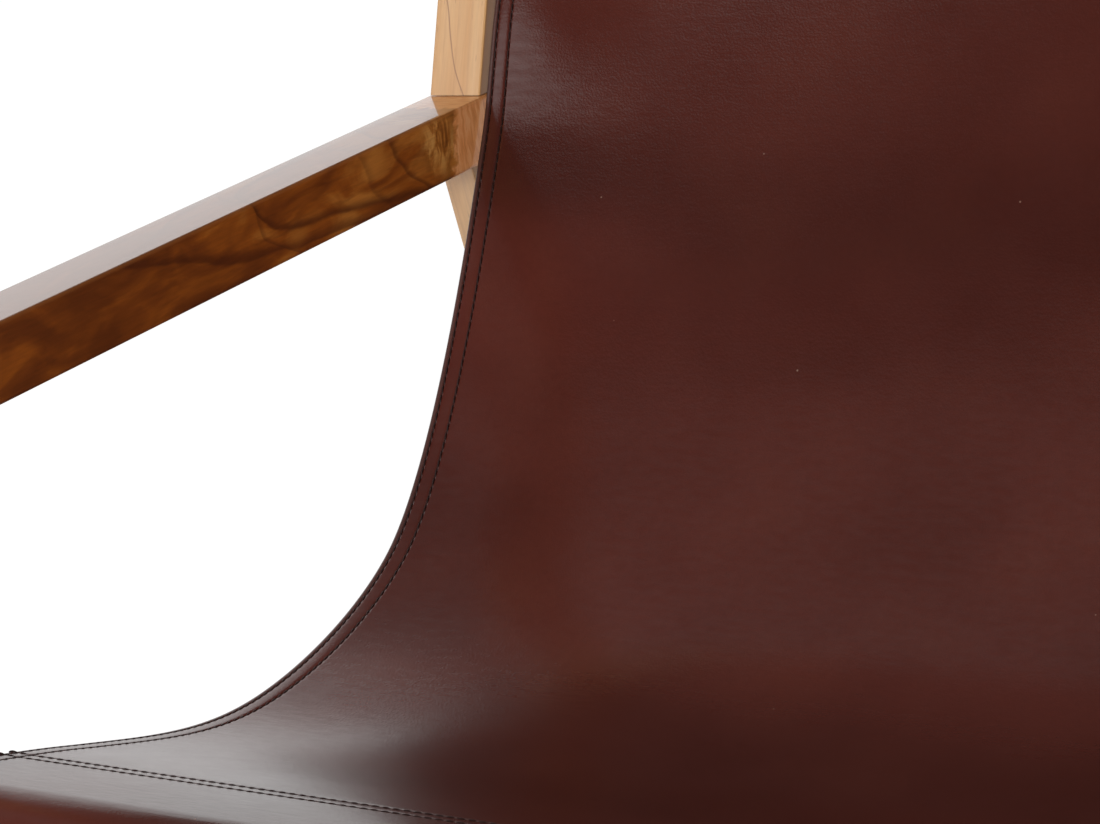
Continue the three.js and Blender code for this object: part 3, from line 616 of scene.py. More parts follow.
def stitch_tree(thread):
    """Geometry nodes that set one bent stitch at every pitch of each row, turned to the leather."""
    tree = bpy.data.node_groups.new("sewn_stitches", "GeometryNodeTree")
    face = tree.interface
    face.new_socket("Rows", in_out="INPUT", socket_type="NodeSocketGeometry")
    for name, value in (("Pitch", STITCH_PITCH * MM), ("Stitch Length", STITCH_LENGTH * MM),
                        ("Thread Radius", THREAD_RADIUS * MM), ("Dive", STITCH_DIVE * MM),
                        ("Slant", STITCH_SLANT)):
        face.new_socket(name, in_out="INPUT", socket_type="NodeSocketFloat").default_value = value
    face.new_socket("Seed", in_out="INPUT", socket_type="NodeSocketInt").default_value = HEM_SEED
    face.new_socket("Stitches", in_out="OUTPUT", socket_type="NodeSocketGeometry")
    given = add(tree, "NodeGroupInput").outputs
    half, inside = [add(tree, "Math", [given["Stitch Length"], share], operation="MULTIPLY")
                    for share in (0.5, BOW_SHARE)]
    minus_half, minus_inside = [add(tree, "Math", [end, -1.0], operation="MULTIPLY")
                                for end in (half, inside)]
    down, rise = [add(tree, "Math", [given["Dive"], share], operation="MULTIPLY")
                  for share in (-1.0, BOW_SHARE)]
    bow = add(tree, "GeometryNodeCurvePrimitiveBezierSegment", {
        "Resolution": BOW_STEPS,
        "Start": add(tree, "CombineXYZ", {"X": minus_half, "Z": down}),
        "Start Handle": add(tree, "CombineXYZ", {"X": minus_inside, "Z": rise}),
        "End Handle": add(tree, "CombineXYZ", {"X": inside, "Z": rise}),
        "End": add(tree, "CombineXYZ", {"X": half, "Z": down}),
    }, mode="POSITION")
    strand = add(tree, "GeometryNodeCurvePrimitiveCircle",
                 {"Resolution": STRAND_SIDES, "Radius": given["Thread Radius"]})
    stitch = add(tree, "GeometryNodeCurveToMesh", {"Curve": bow, "Profile Curve": strand, "Fill Caps": True})
    soft = add(tree, "GeometryNodeSetShadeSmooth", {"Geometry": stitch, "Shade Smooth": True})
    line = add(tree, "GeometryNodeMeshToCurve", {"Mesh": given["Rows"]})
    points = add(tree, "GeometryNodeCurveToPoints", {"Curve": line, "Length": given["Pitch"]}, mode="LENGTH")
    faces_out = add(tree, "GeometryNodeInputNamedAttribute", {"Name": "leather_facing"},
                    data_type="FLOAT_VECTOR")
    lengthways = add(tree, "FunctionNodeAlignRotationToVector", {"Vector": points.outputs["Tangent"]},
                     axis="X")
    standing = add(tree, "FunctionNodeAlignRotationToVector",
                   {"Rotation": lengthways, "Vector": faces_out}, axis="Z", pivot_axis="X")
    stray = add(tree, "FunctionNodeRandomValue", {"Min": -SLANT_STRAYS, "Max": SLANT_STRAYS,
                                                  "Seed": given["Seed"]}, data_type="FLOAT")
    slant = add(tree, "Math", [given["Slant"], stray], operation="ADD")
    skew = add(tree, "FunctionNodeEulerToRotation", [add(tree, "CombineXYZ", {"Z": slant})])
    turned = add(tree, "FunctionNodeRotateRotation", {"Rotation": standing, "Rotate By": skew},
                 rotation_space="LOCAL")
    sewn = add(tree, "GeometryNodeInstanceOnPoints", {"Points": points, "Instance": soft,
                                                      "Rotation": turned})
    real = add(tree, "GeometryNodeRealizeInstances", {"Geometry": sewn})
    dyed = add(tree, "GeometryNodeSetMaterial", {"Geometry": real, "Material": thread})
    add(tree, "NodeGroupOutput", {"Stitches": dyed})
    return tree


def sew(name, tree, rows, seed):
    """Rows are (points, facings) lines on the leather; the result is one plain mesh of stitches."""
    points, edges, facings = [], [], []
    for line, facing in rows:
        first = len(points)
        points += line.tolist()
        facings += facing.tolist()
        edges += [(first + i, first + i + 1) for i in range(len(line) - 1)]
    mesh = bpy.data.meshes.new(name + "_rows")
    mesh.from_pydata(points, edges, [])
    set_vectors(mesh, "leather_facing", facings)
    guide = placed(name + "_rows", mesh)
    modifier = guide.modifiers.new("sewing", "NODES")
    modifier.node_group = tree
    modifier[tree.interface.items_tree["Seed"].identifier] = seed
    made = plain_mesh(guide)
    made.name = name
    bpy.data.objects.remove(guide)
    drop_attribute(made, "leather_facing")
    return placed(name, made)


def row_line(places, across, front):
    """One row of stitches: its line on the leather, just under the surface of its groove's shoulders."""
    points, facing = leather_points(places, across, front, STITCH_RISE)
    return points, np.column_stack([np.zeros(len(facing)), facing * (1 if front else -1)])


def make_stitching(thread):
    """The hems' rows, all along the face and behind where the sheet is open, and the pockets' rows."""
    tree = stitch_tree(thread)
    hem_rows = []
    whole = np.arange(WHOLE_ROW_INSET, RIBBON_END - WHOLE_ROW_INSET, ROW_STEP)
    opened = np.arange(SHEET_FROM + POCKET_CLOSES + FLAP + OPEN_ROW_INSET,
                       SHEET_TO - POCKET_CLOSES - FLAP - OPEN_ROW_INSET, ROW_STEP)
    for side in (-1, 1):
        for row in HEM_ROWS:
            across = side * (HALF_SLING - row)
            hem_rows += [row_line(whole, across, True), row_line(opened, across, False)]
    reach = HALF_SLING - POCKET_ROW_INSET
    widths = np.arange(-reach, reach + 0.1, ROW_STEP)
    seam_rows = [row_line(seam, widths, True) for seam in SHEET_SEAMS + FLAP_SEAMS]
    return (sew("hem_stitching", tree, hem_rows, HEM_SEED),
            sew("pocket_stitching", tree, seam_rows, POCKET_SEED))


# Materials, with patterns drawn in millimetres: a scale of 1 / 75 gives patches about 75 mm wide


def object_mm(tree):
    """Object coordinates in millimetres."""
    coordinates = add(tree, "TexCoord").outputs["Object"]
    return add(tree, "VectorMath", [coordinates, 1000.0], operation="SCALE")


# How light the hide is painted beside its usual tone, as painted light and shade, over mm down the sheet
# from
# the top rail: in its middle, and by its side edges. It is painted darker where it passes the arms and in
# the seat's bend, and lighter over the lower back.
HIDE_LENGTH = 816.0
TONE_SCALE = 2.0
MIDDLE_PAINTED_LIGHT = [(0, 1.0), (226, 0.96), (250, 0.85), (268, 0.79), (282, 0.79), (304, 0.89), (345, 1.03),
                (385, 1.17), (430, 1.17), (490, 1.21), (518, 1.11), (550, 0.88), (580, 0.76), (816, 0.73)]
EDGE_PAINTED_LIGHT = [(0, 1.0), (210, 1.0), (226, 0.93), (245, 0.79), (256, 0.83), (272, 1.03), (302, 1.29),
              (335, 1.24), (364, 1.04), (400, 0.98), (430, 0.88), (468, 0.93), (518, 1.04), (550, 1.22),
              (816, 1.15)]
# Where the hide changes, in mm: from its middle toward its edges, over its centre with its painted shade,
# and into the seat's bend
EDGEWARD = (125.0, 240.0)
CENTRE_PAINTED_SHADE = (0.0, 110.0)
SEAT_BEND = (500.0, 585.0)
# In mm from a side edge or a sewn row: painted shade on the rim, the rubbed band with its painted greyish
# sheen, and painted shade by the thread
RIM_PAINTED_SHADE = (0.25, 0.9)
RUB_AND_PAINTED_SHEEN = (2.2, 3.4)
GROOVE_PAINTED_SHADE = (0.25, 1.0)


def toned_by(tree, place, stations):
    """A smooth curve through (mm, tone) stations down the hide, for a place on it."""
    share = add(tree, "Math", [place, 1 / HIDE_LENGTH], operation="MULTIPLY")
    points = [(mm / HIDE_LENGTH, tone / TONE_SCALE) for mm, tone in stations]
    line = add(tree, "FloatCurve", {"Value": share}, curve=points)
    return add(tree, "Math", [line, TONE_SCALE], operation="MULTIPLY")


def waxed_leather():
    """Vegetable-tanned saddle leather, waxed: a red-brown body with a slow drift of tone, with painted light
    and shade that make it lighter and darker, and a soft satin sheen that is smeared across and dulls in the
    seat's bend. Its folded edges rub rougher and get a painted greyish sheen and painted shade at the rim,
    and the sewn rows get painted shade. The pores are drawn coarser than real ones, to show."""
    material, tree, shader = blank_material("waxed_saddle_leather")
    hide = add(tree, "Attribute", attribute_name="hide").outputs["Vector"]
    parts = add(tree, "SeparateXYZ", [hide]).outputs
    aside = add(tree, "Math", [parts["X"]], operation="ABSOLUTE")

    clouds = add(tree, "TexNoise", {"Vector": hide, "Scale": 1 / 75, "Detail": 2.0, "Roughness": 0.45})
    body = add(tree, "ValToRGB", [clouds], stops=[(0.3, "#471e17"), (0.5, "#4b211a"), (0.7, "#4f241c")])
    mottle = add(tree, "TexNoise", {"Vector": hide, "Scale": 1 / 4, "Detail": 3.0, "Roughness": 0.65})
    fleck = add(tree, "MapRange", [mottle, 0.3, 0.7, 0.95, 1.05])
    # Painted light and shade down the hide: darker by the arms and in the seat's bend, lighter over the
    # lower back
    middle_painted_light, edge_painted_light = [toned_by(tree, parts["Y"], tones) for tones in (MIDDLE_PAINTED_LIGHT, EDGE_PAINTED_LIGHT)]
    edgeward = add(tree, "MapRange", [aside, *EDGEWARD, 0.0, 1.0], **SMOOTH)
    # Painted shade: the hide's centre a little darker
    centre = add(tree, "MapRange", [aside, *CENTRE_PAINTED_SHADE, 0.88, 1.0])
    drift = add(tree, "Mix", [edgeward, middle_painted_light, edge_painted_light], data_type="FLOAT")
    worn = add(tree, "Math", [drift, centre], operation="MULTIPLY")
    tone = add(tree, "Math", [fleck, worn], operation="MULTIPLY")
    toned = add(tree, "VectorMath", [body, tone], operation="SCALE")

    from_edge = add(tree, "Math", [HALF_SLING, aside], operation="SUBTRACT")
    # The folded edge: a rubbed band that is rougher and carries a painted greyish sheen, then painted shade
    # on the rim
    rub_and_painted_sheen = add(tree, "MapRange", [from_edge, *RUB_AND_PAINTED_SHEEN, 0.55, 0.0], **SMOOTH)
    painted_sheen_edged = add(tree, "Mix", [rub_and_painted_sheen, toned, linear("#4c3834")], data_type="RGBA")
    rim_painted_shade = add(tree, "MapRange", [from_edge, *RIM_PAINTED_SHADE, 0.8, 0.0], **SMOOTH)
    colour = add(tree, "Mix", [rim_painted_shade, painted_sheen_edged, linear("#1c0e0b")], data_type="RGBA")
    # Painted shade in the grooves where the thread pulls the leather in
    for row in HEM_ROWS:
        away = add(tree, "Math", [from_edge, row], operation="SUBTRACT")
        near = add(tree, "Math", [away], operation="ABSOLUTE")
        sewn = add(tree, "MapRange", [near, *GROOVE_PAINTED_SHADE, 0.75, 0.0], **SMOOTH)
        colour = add(tree, "Mix", [sewn, colour, linear("#240f0b")], data_type="RGBA")
    specks = add(tree, "TexVoronoi", {"Vector": hide, "Scale": 1 / 17}, feature="F1")
    tiny = add(tree, "MapRange", [specks, 0.022, 0.036, 0.4, 0.0])
    shade = add(tree, "SeparateColor", [specks.outputs["Color"]])
    chosen = add(tree, "Math", [shade, 0.72], operation="GREATER_THAN")
    pale = add(tree, "Math", [tiny, chosen], operation="MULTIPLY")
    flecked = add(tree, "Mix", [pale, colour, linear("#b08d7c")], data_type="RGBA")

    haze = add(tree, "TexNoise", {"Vector": hide, "Scale": 1 / 45, "Detail": 2.0})
    satin = add(tree, "MapRange", [haze, 0.3, 0.7, 0.15, 0.17])
    sat_dull = add(tree, "MapRange", [parts["Y"], *SEAT_BEND, 0.0, 0.07], **SMOOTH)
    dulled = add(tree, "Math", [satin, sat_dull], operation="ADD")
    rough = add(tree, "Math", [rub_and_painted_sheen, 0.25, dulled], operation="MULTIPLY_ADD")
    smeared = add(tree, "VectorMath", [hide, (0.3, 1.0, 1.0)], operation="MULTIPLY")
    smears = add(tree, "TexNoise", {"Vector": smeared, "Scale": 1 / 3.4, "Detail": 3.0, "Roughness": 0.55})
    waxed = add(tree, "MapRange", [smears, 0.34, 0.66, 0.36, 0.58])

    pores = add(tree, "TexVoronoi", {"Vector": hide, "Scale": 1 / 1.1}, feature="F1")
    creased = add(tree, "VectorMath", [hide, (0.2, 1.0, 1.0)], operation="MULTIPLY")
    creases = add(tree, "TexNoise", {"Vector": creased, "Scale": 1 / 2.4, "Detail": 4.0, "Roughness": 0.6})
    relief = add(tree, "Math", [creases, 1.2, pores], operation="MULTIPLY_ADD")
    bump = add(tree, "Bump", {"Strength": 0.16, "Distance": 0.0002, "Height": relief})
    set_inputs(tree, shader, {"Base Color": flecked, "Roughness": rough, "IOR": 1.5,
                              "Specular IOR Level": waxed, "Normal": bump})
    return material


def leather_flesh():
    """The leather's unfinished back: short brushed fibres, duller and lighter than its face."""
    material, tree, shader = blank_material("leather_flesh_side")
    mm = object_mm(tree)
    nap = add(tree, "TexNoise", {"Vector": mm, "Scale": 1 / 1.6, "Detail": 5.0, "Roughness": 0.7})
    patches = add(tree, "TexNoise", {"Vector": mm, "Scale": 1 / 45, "Detail": 2.0})
    mixed = add(tree, "Math", [patches, 0.6, nap], operation="MULTIPLY_ADD")
    body = add(tree, "ValToRGB", [mixed], stops=[(0.55, "#4f3327"), (0.8, "#66463a"), (1.0, "#795646")])
    bump = add(tree, "Bump", {"Strength": 0.5, "Distance": 0.0003, "Height": nap})
    set_inputs(tree, shader, {"Base Color": body, "Roughness": 0.85, "IOR": 1.5, "Sheen Weight": 0.25,
                              "Sheen Roughness": 0.5, "Normal": bump})
    return material


def waxed_thread():
    """Twisted polyester thread, waxed nearly black: a faint sheen with the twist's paler ridges."""
    material, tree, shader = blank_material("waxed_polyester_thread")
    mm = object_mm(tree)
    twist = add(tree, "TexNoise", {"Vector": mm, "Scale": 2.2, "Detail": 2.0})
    body = add(tree, "ValToRGB", [twist], stops=[(0.35, "#160806"), (0.7, "#2b130e")])
    set_inputs(tree, shader, {"Base Color": body, "Roughness": 0.5, "IOR": 1.5})
    return material


# Growth veins, each a curve of one place over another in mm. On the arm, "along" is the chair's depth and
# "height" is from the arm's top. "sharp" is how fast a vein starts on its low side, "soft" how far it fades
# on the other, and "dark" how much of the dark colour it takes.
ARM_SPANS = {"along": (-120.0, 200.0), "height": (-40.0, 8.0)}
ARM_VEINS = [
    {"over": "along", "sharp": 1.8, "soft": 5.5, "dark": 0.62, "points": [
        (-120, 4), (-90, -4), (-46, -15), (-33, -19.7), (-16, -23), (-5, -24.4), (16, -27.4), (26, -29.6),
        (42, -30.4), (61, -31), (80, -32), (120, -35), (200, -38)]},
    {"over": "along", "sharp": 2.2, "soft": 4.6, "dark": 0.68, "points": [
        (-120, 8), (-12, 8), (-4, 1), (-1, -5.3), (5, -11.5), (15.5, -16.9), (30, -20.2), (46, -21.4),
        (60, -22), (74, -24.2), (85, -25.5), (95, -26.8), (120, -31), (200, -40)]},
    {"over": "height", "sharp": 1.2, "soft": 4.0, "dark": 0.4, "points": [
        (-40, 40), (-31, 24), (-27.9, 17.2), (-25.4, 11.7), (-19.1, 2.7), (-12.4, -1.5), (-5.4, -1.2),
        (8, -8)]},
    {"over": "height", "sharp": 2.0, "soft": 5.0, "dark": 0.55, "points": [
        (-40, 154), (-31, 142), (-25, 132), (-21.7, 127), (-15, 120.5), (-10.7, 117.2), (-3, 114.7),
        (8, 109)]},
    {"over": "height", "sharp": 2.5, "soft": 7.0, "dark": 0.3, "points": [
        (-40, 118), (-30, 106), (-24, 98), (-17, 94), (-10, 92), (-3, 88), (8, 78)]},
    {"over": "height", "sharp": 9.0, "soft": 3.5, "dark": 0.34, "points": [
        (-40, 158), (-30, 163), (-20, 165), (-10, 170), (-3, 173), (8, 174)]},
]
# For each mm in from the arm's inner face, the figure comes from a height that changes by this many mm
FIGURE_OVER_TOP_SHARE = -0.8
ARM_TOP_EDGE = (-2.4, -0.6)
KNOT_ALONG = 156.0
KNOT_HEIGHT = -13.0
KNOT_REACH = (7.0, 20.0)
SAPWOOD_FROM = 176.6
SAPWOOD_LEAN = 0.276
SAPWOOD_RAGGED = 3.0
SAPWOOD_EDGE = (SAPWOOD_FROM - 2.5, SAPWOOD_FROM + 2.0)


def veined(tree, colour, places, spans, veins, dark_colour):
    """Draws growth veins over a colour. Places has the two coordinates in mm that a vein relates."""
    for vein in veins:
        over = vein["over"]
        other = next(name for name in spans if name != over)
        (low, high), (bottom, top) = spans[over], spans[other]
        place = add(tree, "MapRange", [places[over], low, high, 0.0, 1.0])
        points = [((a - low) / (high - low), (b - bottom) / (top - bottom)) for a, b in vein["points"]]
        line = add(tree, "FloatCurve", {"Value": place}, curve=points)
        middle = add(tree, "MapRange", [line, 0.0, 1.0, bottom, top])
        off = add(tree, "Math", [places[other], middle], operation="SUBTRACT")
        starts = add(tree, "MapRange", [off, -vein["sharp"], 0.0, 0.0, 1.0], **SMOOTH)
        fades = add(tree, "MapRange", [off, 0.0, vein["soft"], vein["dark"], 0.0], **SMOOTH)
        drawn = add(tree, "Math", [starts, fades], operation="MULTIPLY")
        colour = add(tree, "Mix", [drawn, colour, linear(dark_colour)], data_type="RGBA")
    return colour


def lacquer(tree, shader, board, colour):
    """A clear gloss coat over timber, with the slight ripple that brushed or sprayed lacquer dries to."""
    peel = add(tree, "TexNoise", {"Vector": board, "Scale": 1 / 9, "Detail": 1.0})
    ripple = add(tree, "Bump", {"Strength": 0.22, "Distance": 0.0003, "Height": peel})
    set_inputs(tree, shader, {"Base Color": colour, "Roughness": 0.35, "IOR": 1.5, "Coat Weight": 1.0,
                              "Coat Roughness": 0.035, "Coat IOR": 1.5, "Coat Normal": ripple})


def knot_colour(tree, along, height):
    """The burl round the knot: curling strokes of gold and brown. Also says how far a place is from it."""
    aside = add(tree, "Math", [along, KNOT_ALONG], operation="SUBTRACT")
    above = add(tree, "Math", [height, KNOT_HEIGHT], operation="SUBTRACT")
    offset = add(tree, "CombineXYZ", [aside, above])
    distance = add(tree, "VectorMath", [offset], operation="LENGTH")
    upright = add(tree, "VectorMath", [offset, (1.0, 0.5, 1.0)], operation="MULTIPLY")
    strokes = add(tree, "TexNoise", {"Vector": upright, "Scale": 1 / 9, "Detail": 4.0, "Roughness": 0.62,
                                     "Distortion": 1.0})
    burl = add(tree, "ValToRGB", [strokes],
               stops=[(0.36, "#6d3a10"), (0.46, "#9c5d22"), (0.56, "#c98c46"), (0.72, "#dca862")])
    return burl, distance


def figured_hardwood():
    """Dark-figured hardwood under gloss lacquer: an amber-brown body with growth veins that bend round a
    knot, paler sapwood at the post's foot, and a deep mirror-like coat. The figure runs on over the arm's
    top as if it came from below its inner face, and is painted darker and calmer there as painted shade."""
    material, tree, shader = blank_material("lacquered_figured_hardwood")
    board = add(tree, "Attribute", attribute_name="board").outputs["Vector"]
    slow = add(tree, "VectorMath", [board, (1.0, 1.0, 0.4)], operation="MULTIPLY")
    drift = add(tree, "TexNoise", {"Vector": slow, "Scale": 1 / 15, "Detail": 2.0})
    centred = add(tree, "VectorMath", [drift.outputs["Color"], (0.5, 0.5, 0.5)], operation="SUBTRACT")
    wander = add(tree, "VectorMath", [centred, (3.0, 3.0, 8.0)], operation="MULTIPLY")
    bent = add(tree, "VectorMath", [board, wander], operation="ADD")
    parts = add(tree, "SeparateXYZ", [bent]).outputs
    height = add(tree, "Math", [parts["X"], FIGURE_OVER_TOP_SHARE, parts["Y"]], operation="MULTIPLY_ADD")
    along = parts["Z"]

    clouds = add(tree, "TexNoise", {"Vector": slow, "Scale": 1 / 18, "Detail": 4.0, "Distortion": 0.8})
    brighter = add(tree, "MapRange", [along, -60.0, 125.0, -0.08, 0.19])
    tone = add(tree, "Math", [clouds, brighter], operation="ADD")
    body = add(tree, "ValToRGB", [tone],
               stops=[(0.3, "#64300e"), (0.44, "#773b10"), (0.58, "#914c14"), (0.74, "#b36f2c")])
    drawn_out = add(tree, "VectorMath", [bent, (1.0, 1.0, 0.16)], operation="MULTIPLY")
    bands = add(tree, "TexNoise", {"Vector": drawn_out, "Scale": 1 / 5.5, "Detail": 3.0, "Distortion": 0.5})
    band = add(tree, "MapRange", [bands, 0.52, 0.72, 0.0, 0.45], **SMOOTH)
    banded = add(tree, "Mix", [band, body, linear("#5a2a0c")], data_type="RGBA")
    colour = veined(tree, banded, {"along": along, "height": height}, ARM_SPANS, ARM_VEINS, "#431d0b")

    burl, from_knot = knot_colour(tree, along, height)
    near_knot = add(tree, "MapRange", [from_knot, *KNOT_REACH, 0.85, 0.0], **SMOOTH)
    knotted = add(tree, "Mix", [near_knot, colour, burl], data_type="RGBA")

    fine = add(tree, "VectorMath", [bent, (1.0, 1.0, 0.07)], operation="MULTIPLY")
    fibres = add(tree, "TexNoise", {"Vector": fine, "Scale": 1 / 1.3, "Detail": 3.0, "Roughness": 0.6})
    fibre = add(tree, "MapRange", [fibres, 0.3, 0.7, 0.88, 1.12])
    streaked = add(tree, "VectorMath", [knotted, fibre], operation="SCALE")

    straight = add(tree, "SeparateXYZ", [board]).outputs
    # Painted shade: the arm's top darker and calmer than its inner face
    top_shade_share = add(tree, "MapRange", [straight["Y"], *ARM_TOP_EDGE, 0.0, 0.7], **SMOOTH)
    top_painted_shade = add(tree, "Mix", [top_shade_share, streaked, linear("#7c4820")], data_type="RGBA")
    slanted = add(tree, "Math", [straight["Y"], -SAPWOOD_LEAN, straight["Z"]], operation="MULTIPLY_ADD")
    broad = add(tree, "VectorMath", [board, (0.6, 0.6, 0.3)], operation="MULTIPLY")
    ragged = add(tree, "TexNoise", {"Vector": broad, "Scale": 1 / 2.4, "Detail": 3.0})
    jitter = add(tree, "MapRange", [ragged, 0.3, 0.7, -SAPWOOD_RAGGED, SAPWOOD_RAGGED])
    behind = add(tree, "Math", [slanted, jitter], operation="ADD")
    sapwood = add(tree, "MapRange", [behind, *SAPWOOD_EDGE, 0.0, 0.92], **SMOOTH)
    fanned = add(tree, "VectorMath", [bent, (0.3, 0.16, 1.0)], operation="MULTIPLY")
    fan = add(tree, "TexNoise", {"Vector": fanned, "Scale": 1 / 2.6, "Detail": 4.0, "Roughness": 0.65,
                                 "Distortion": 0.4})
    fan_colour = add(tree, "ValToRGB", [fan], stops=[(0.3, "#cb8047"), (0.5, "#e89a5d"), (0.7, "#f2b37f")])
    # Painted shade: the sapwood dimmed on the arm's top
    top_shade_dim = add(tree, "MapRange", [straight["Y"], *ARM_TOP_EDGE, 1.0, 0.66])
    fan_top_shaded = add(tree, "VectorMath", [fan_colour, top_shade_dim], operation="SCALE")
    sapped = add(tree, "Mix", [sapwood, top_painted_shade, fan_top_shaded], data_type="RGBA")
    lacquer(tree, shader, board, sapped)
    return material


# The brown vein at the foot of the left post's front, as the place across the post over the place along it,
# and where the painted shade on the posts' inner faces starts across them
POST_INNER_SHADE = (-14.9, -15.4)
POST_SPANS = {"along": (-125.0, 125.0), "across": (-40.0, 40.0)}
POST_VEINS = [
    {"over": "along", "sharp": 0.6, "soft": 0.8, "dark": 0.8, "points": [
        (-125, -7.6), (-119.6, -5.4), (-112, -1.6), (-104.6, 1.4), (-90, 5), (-70, 9), (-55, 17), (-40, 40),
        (125, 40)]},
]


def pale_hardwood():
    """Pale straight-grained hardwood under the same lacquer: faint growth lines along each board, short
    pores drawn a little coarser than real ones, a warm drift of tone, and painted shade that makes the
    posts' inner faces browner."""
    material, tree, shader = blank_material("lacquered_pale_hardwood")
    board = add(tree, "Attribute", attribute_name="board").outputs["Vector"]
    long_way = add(tree, "VectorMath", [board, (1.0, 1.0, 0.05)], operation="MULTIPLY")
    clouds = add(tree, "TexNoise", {"Vector": long_way, "Scale": 1 / 14, "Detail": 3.0})
    body = add(tree, "ValToRGB", [clouds], stops=[(0.32, "#c3915c"), (0.5, "#ca9d6b"), (0.66, "#d2ab80")])
    from_heart = add(tree, "VectorMath", [long_way, (46.0, 17.0, 0.0)], operation="ADD")
    rings = add(tree, "TexWave", {"Vector": from_heart, "Scale": 0.05, "Distortion": 3.5, "Detail": 2.0,
                                  "Detail Scale": 0.25},
                wave_type="RINGS", rings_direction="Z", wave_profile="SAW")
    latewood = add(tree, "MapRange", [rings.outputs["Fac"], 0.7, 0.98, 0.0, 0.26], **SMOOTH)
    lined = add(tree, "Mix", [latewood, body, linear("#ad7c50")], data_type="RGBA")
    fine = add(tree, "VectorMath", [board, (1.0, 1.0, 0.09)], operation="MULTIPLY")
    fibres = add(tree, "TexNoise", {"Vector": fine, "Scale": 1 / 1.1, "Detail": 3.0})
    fibre = add(tree, "MapRange", [fibres, 0.3, 0.7, 0.95, 1.05])
    streaked = add(tree, "VectorMath", [lined, fibre], operation="SCALE")
    short = add(tree, "VectorMath", [board, (1.0, 1.0, 0.14)], operation="MULTIPLY")
    pores = add(tree, "TexVoronoi", {"Vector": short, "Scale": 1 / 3.2})
    pore = add(tree, "MapRange", [pores, 0.05, 0.11, 0.4, 0.0])
    pored = add(tree, "Mix", [pore, streaked, linear("#8a5f3c")], data_type="RGBA")
    parts = add(tree, "SeparateXYZ", [board]).outputs
    places = {"along": parts["Z"], "across": parts["X"]}
    colour = veined(tree, pored, places, POST_SPANS, POST_VEINS, "#8a5a3c")
    # Painted shade: the inner faces beside the sling, browner and darker
    inner_face_shade = add(tree, "MapRange", [parts["X"], *POST_INNER_SHADE, 0.0, 0.75])
    inner_shaded = add(tree, "Mix", [inner_face_shade, colour, linear("#82512e")], data_type="RGBA")
    lacquer(tree, shader, board, inner_shaded)
    return material


def planed_beech():
    """Bare planed beech: pale pinkish wood with short dark ray flecks."""
    material, tree, shader = blank_material("planed_beech")
    mm = object_mm(tree)
    upright = add(tree, "VectorMath", [mm, (1.0, 1.0, 0.2)], operation="MULTIPLY")
    rays = add(tree, "TexNoise", {"Vector": upright, "Scale": 1.6, "Detail": 3.0})
    body = add(tree, "ValToRGB", [rays], stops=[(0.35, "#b58f63"), (0.6, "#cfb288")])
    set_inputs(tree, shader, {"Base Color": body, "Roughness": 0.6, "IOR": 1.5})
    return material


def moulded_nylon():
    """Moulded brown nylon: a fine spark-eroded texture that scatters its sheen."""
    material, tree, shader = blank_material("moulded_nylon")
    mm = object_mm(tree)
    grit = add(tree, "TexNoise", {"Vector": mm, "Scale": 3.0, "Detail": 2.0})
    body = add(tree, "ValToRGB", [grit], stops=[(0.3, "#2c201a"), (0.7, "#3a2b23")])
    bump = add(tree, "Bump", {"Strength": 0.3, "Distance": 0.0001, "Height": grit})
    set_inputs(tree, shader, {"Base Color": body, "Roughness": 0.5, "IOR": 1.53, "Normal": bump})
    return material


def black_oxide_steel():
    """Black-oxide socket screws: dark metal with a dry oily sheen and faint blotches."""
    material, tree, shader = blank_material("black_oxide_steel")
    mm = object_mm(tree)
    blotches = add(tree, "TexNoise", {"Vector": mm, "Scale": 0.7, "Detail": 3.0})
    body = add(tree, "ValToRGB", [blotches], stops=[(0.3, "#2b2a2d"), (0.7, "#3d3c40")])
    rough = add(tree, "MapRange", [blotches, 0.3, 0.7, 0.34, 0.5])
    set_inputs(tree, shader, {"Base Color": body, "Roughness": rough, "Metallic": 1.0})
    return material


def zinc_plated_steel():
    """Zinc-plated washers and barrel nuts: pale bluish metal with a fine spangle."""
    material, tree, shader = blank_material("zinc_plated_steel")
    mm = object_mm(tree)
    spangle = add(tree, "TexVoronoi", {"Vector": mm, "Scale": 1.2})
    body = add(tree, "ValToRGB", [spangle], stops=[(0.1, "#a6aab0"), (0.9, "#b9bbbd")])
    rough = add(tree, "MapRange", [spangle, 0.0, 0.8, 0.26, 0.4])
    set_inputs(tree, shader, {"Base Color": body, "Roughness": rough, "Metallic": 1.0})
    return material


# Timber and fittings

# What merges a CAD shape's loose corners, in metres, and which of its edges stay sharp
MERGE_WITHIN = 0.00001
NO_LENGTH = 0.000001
SHARP_FROM = radians(38)
NORMAL_WEIGHT = 80
# In metres: how far the right arm's figure is set along, and each pale board's grain for its number
RIGHT_ARM_SHIFT = 0.04
BOARD_SHIFT = 1.37
CROSS_TIMBERS = ["rear_stretcher", "top_rail", "front_rail"]


def leaning(degrees):
    """The way of a timber that leans back by an angle from upright."""
    return 0, sin(radians(degrees)), cos(radians(degrees))


SIDE_TIMBERS = {"back_post_": leaning(21.5), "rear_leg_": leaning(-12.3), "front_leg_": leaning(6),
                "side_stretcher_": (0, 1, 0)}


def board_places(node, points, along, number):
    """Places in metres across, through and along a timber's board, for grain that runs along it."""
    low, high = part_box(node)
    if node.startswith("arm"):
        through = np.abs(points[:, 0]) - ARM_INNER_X * MM
        shift = RIGHT_ARM_SHIFT if low.x > 0 else 0.0
        return np.column_stack([through, points[:, 2] - high.z, points[:, 1] + shift])
    middle = np.array((low + high) / 2)
    across = np.array([0.0, 1.0, 0.0]) if along[0] else np.array([1.0 if middle[0] > 0 else -1.0, 0.0, 0.0])
    offsets = points - middle
    return np.column_stack([offsets @ across, offsets @ np.cross(along, across),
                            offsets @ along + number * BOARD_SHIFT])


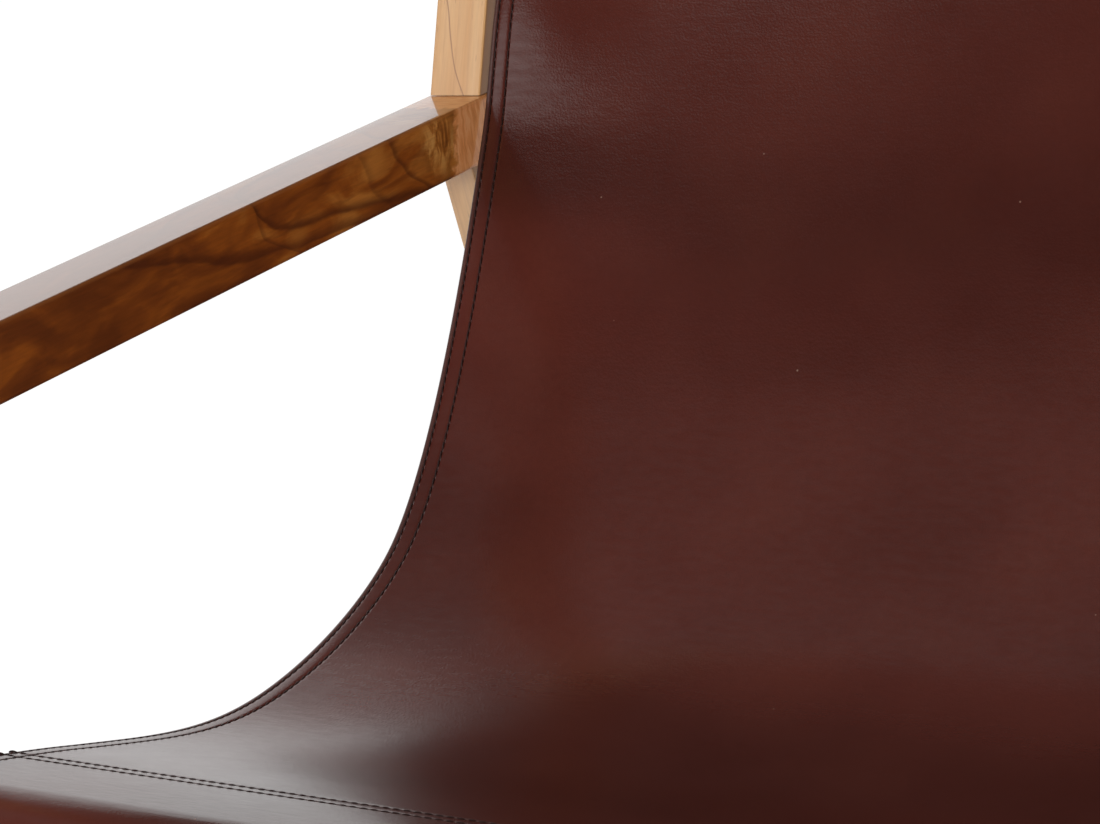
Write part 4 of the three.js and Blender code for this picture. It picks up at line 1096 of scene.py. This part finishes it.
def lacquered_timber(node, material, along, number):
    """A CAD timber with its corners shaded as one smooth round, standing for its node."""
    form = bmesh.new()
    form.from_mesh(NODES[node].data)
    bmesh.ops.remove_doubles(form, verts=form.verts, dist=MERGE_WITHIN)
    bmesh.ops.dissolve_degenerate(form, edges=form.edges, dist=NO_LENGTH)
    for face in form.faces:
        face.smooth = True
        face.material_index = 0
    for edge in form.edges:
        edge.smooth = edge.is_manifold and edge.calc_face_angle(0) < SHARP_FROM
    mesh = bpy.data.meshes.new(node + "_lacquered")
    form.to_mesh(mesh)
    form.free()
    drop_attribute(mesh, "custom_normal")
    mesh.materials.clear()
    mesh.materials.append(material)
    points = np.array([v.co for v in mesh.vertices])
    along = np.array(along) / np.linalg.norm(along)
    set_vectors(mesh, "board", board_places(node, points, along, number) * 1000)
    piece = placed(node + "_lacquered", mesh)
    weigh = piece.modifiers.new("weighted", "WEIGHTED_NORMAL")
    weigh.keep_sharp = True
    weigh.weight = NORMAL_WEIGHT
    made = plain_mesh(piece)
    piece.modifiers.clear()
    piece.data = made
    bpy.data.meshes.remove(mesh)
    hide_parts(node)
    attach(piece, "root")


def add_timbers():
    """The arms in figured hardwood, and the other timbers in pale boards, each with its own grain."""
    figured, pale = figured_hardwood(), pale_hardwood()
    number = 0
    for side in ("left", "right"):
        lacquered_timber("arm_" + side, figured, (0, 1, 0), 0)
        for part, way in SIDE_TIMBERS.items():
            lacquered_timber(part + side, pale, way, number)
            number += 1
    for rail in CROSS_TIMBERS:
        lacquered_timber(rail, pale, (1, 0, 0), number)
        number += 1


def finish_fittings():
    """The fittings keep their CAD shapes and get the finish of what they are."""
    zinc = zinc_plated_steel()
    finishes = {"dowel": planed_beech(), "glide": moulded_nylon(), "bolt": black_oxide_steel(),
                "washer": zinc, "barrel_nut": zinc}
    for node, held in NODES.items():
        for word, finish in finishes.items():
            if word in node:
                held.data.materials[0] = finish


add_camera()
add_studio()
sling = make_sling(waxed_leather(), leather_flesh())
hem_stitching, pocket_stitching = make_stitching(waxed_thread())
for piece in (sling, hem_stitching, pocket_stitching):
    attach(piece, "root")
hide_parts("leather_sling")
add_timbers()
finish_fittings()

bpy.context.scene.view_settings.view_transform = "Standard"
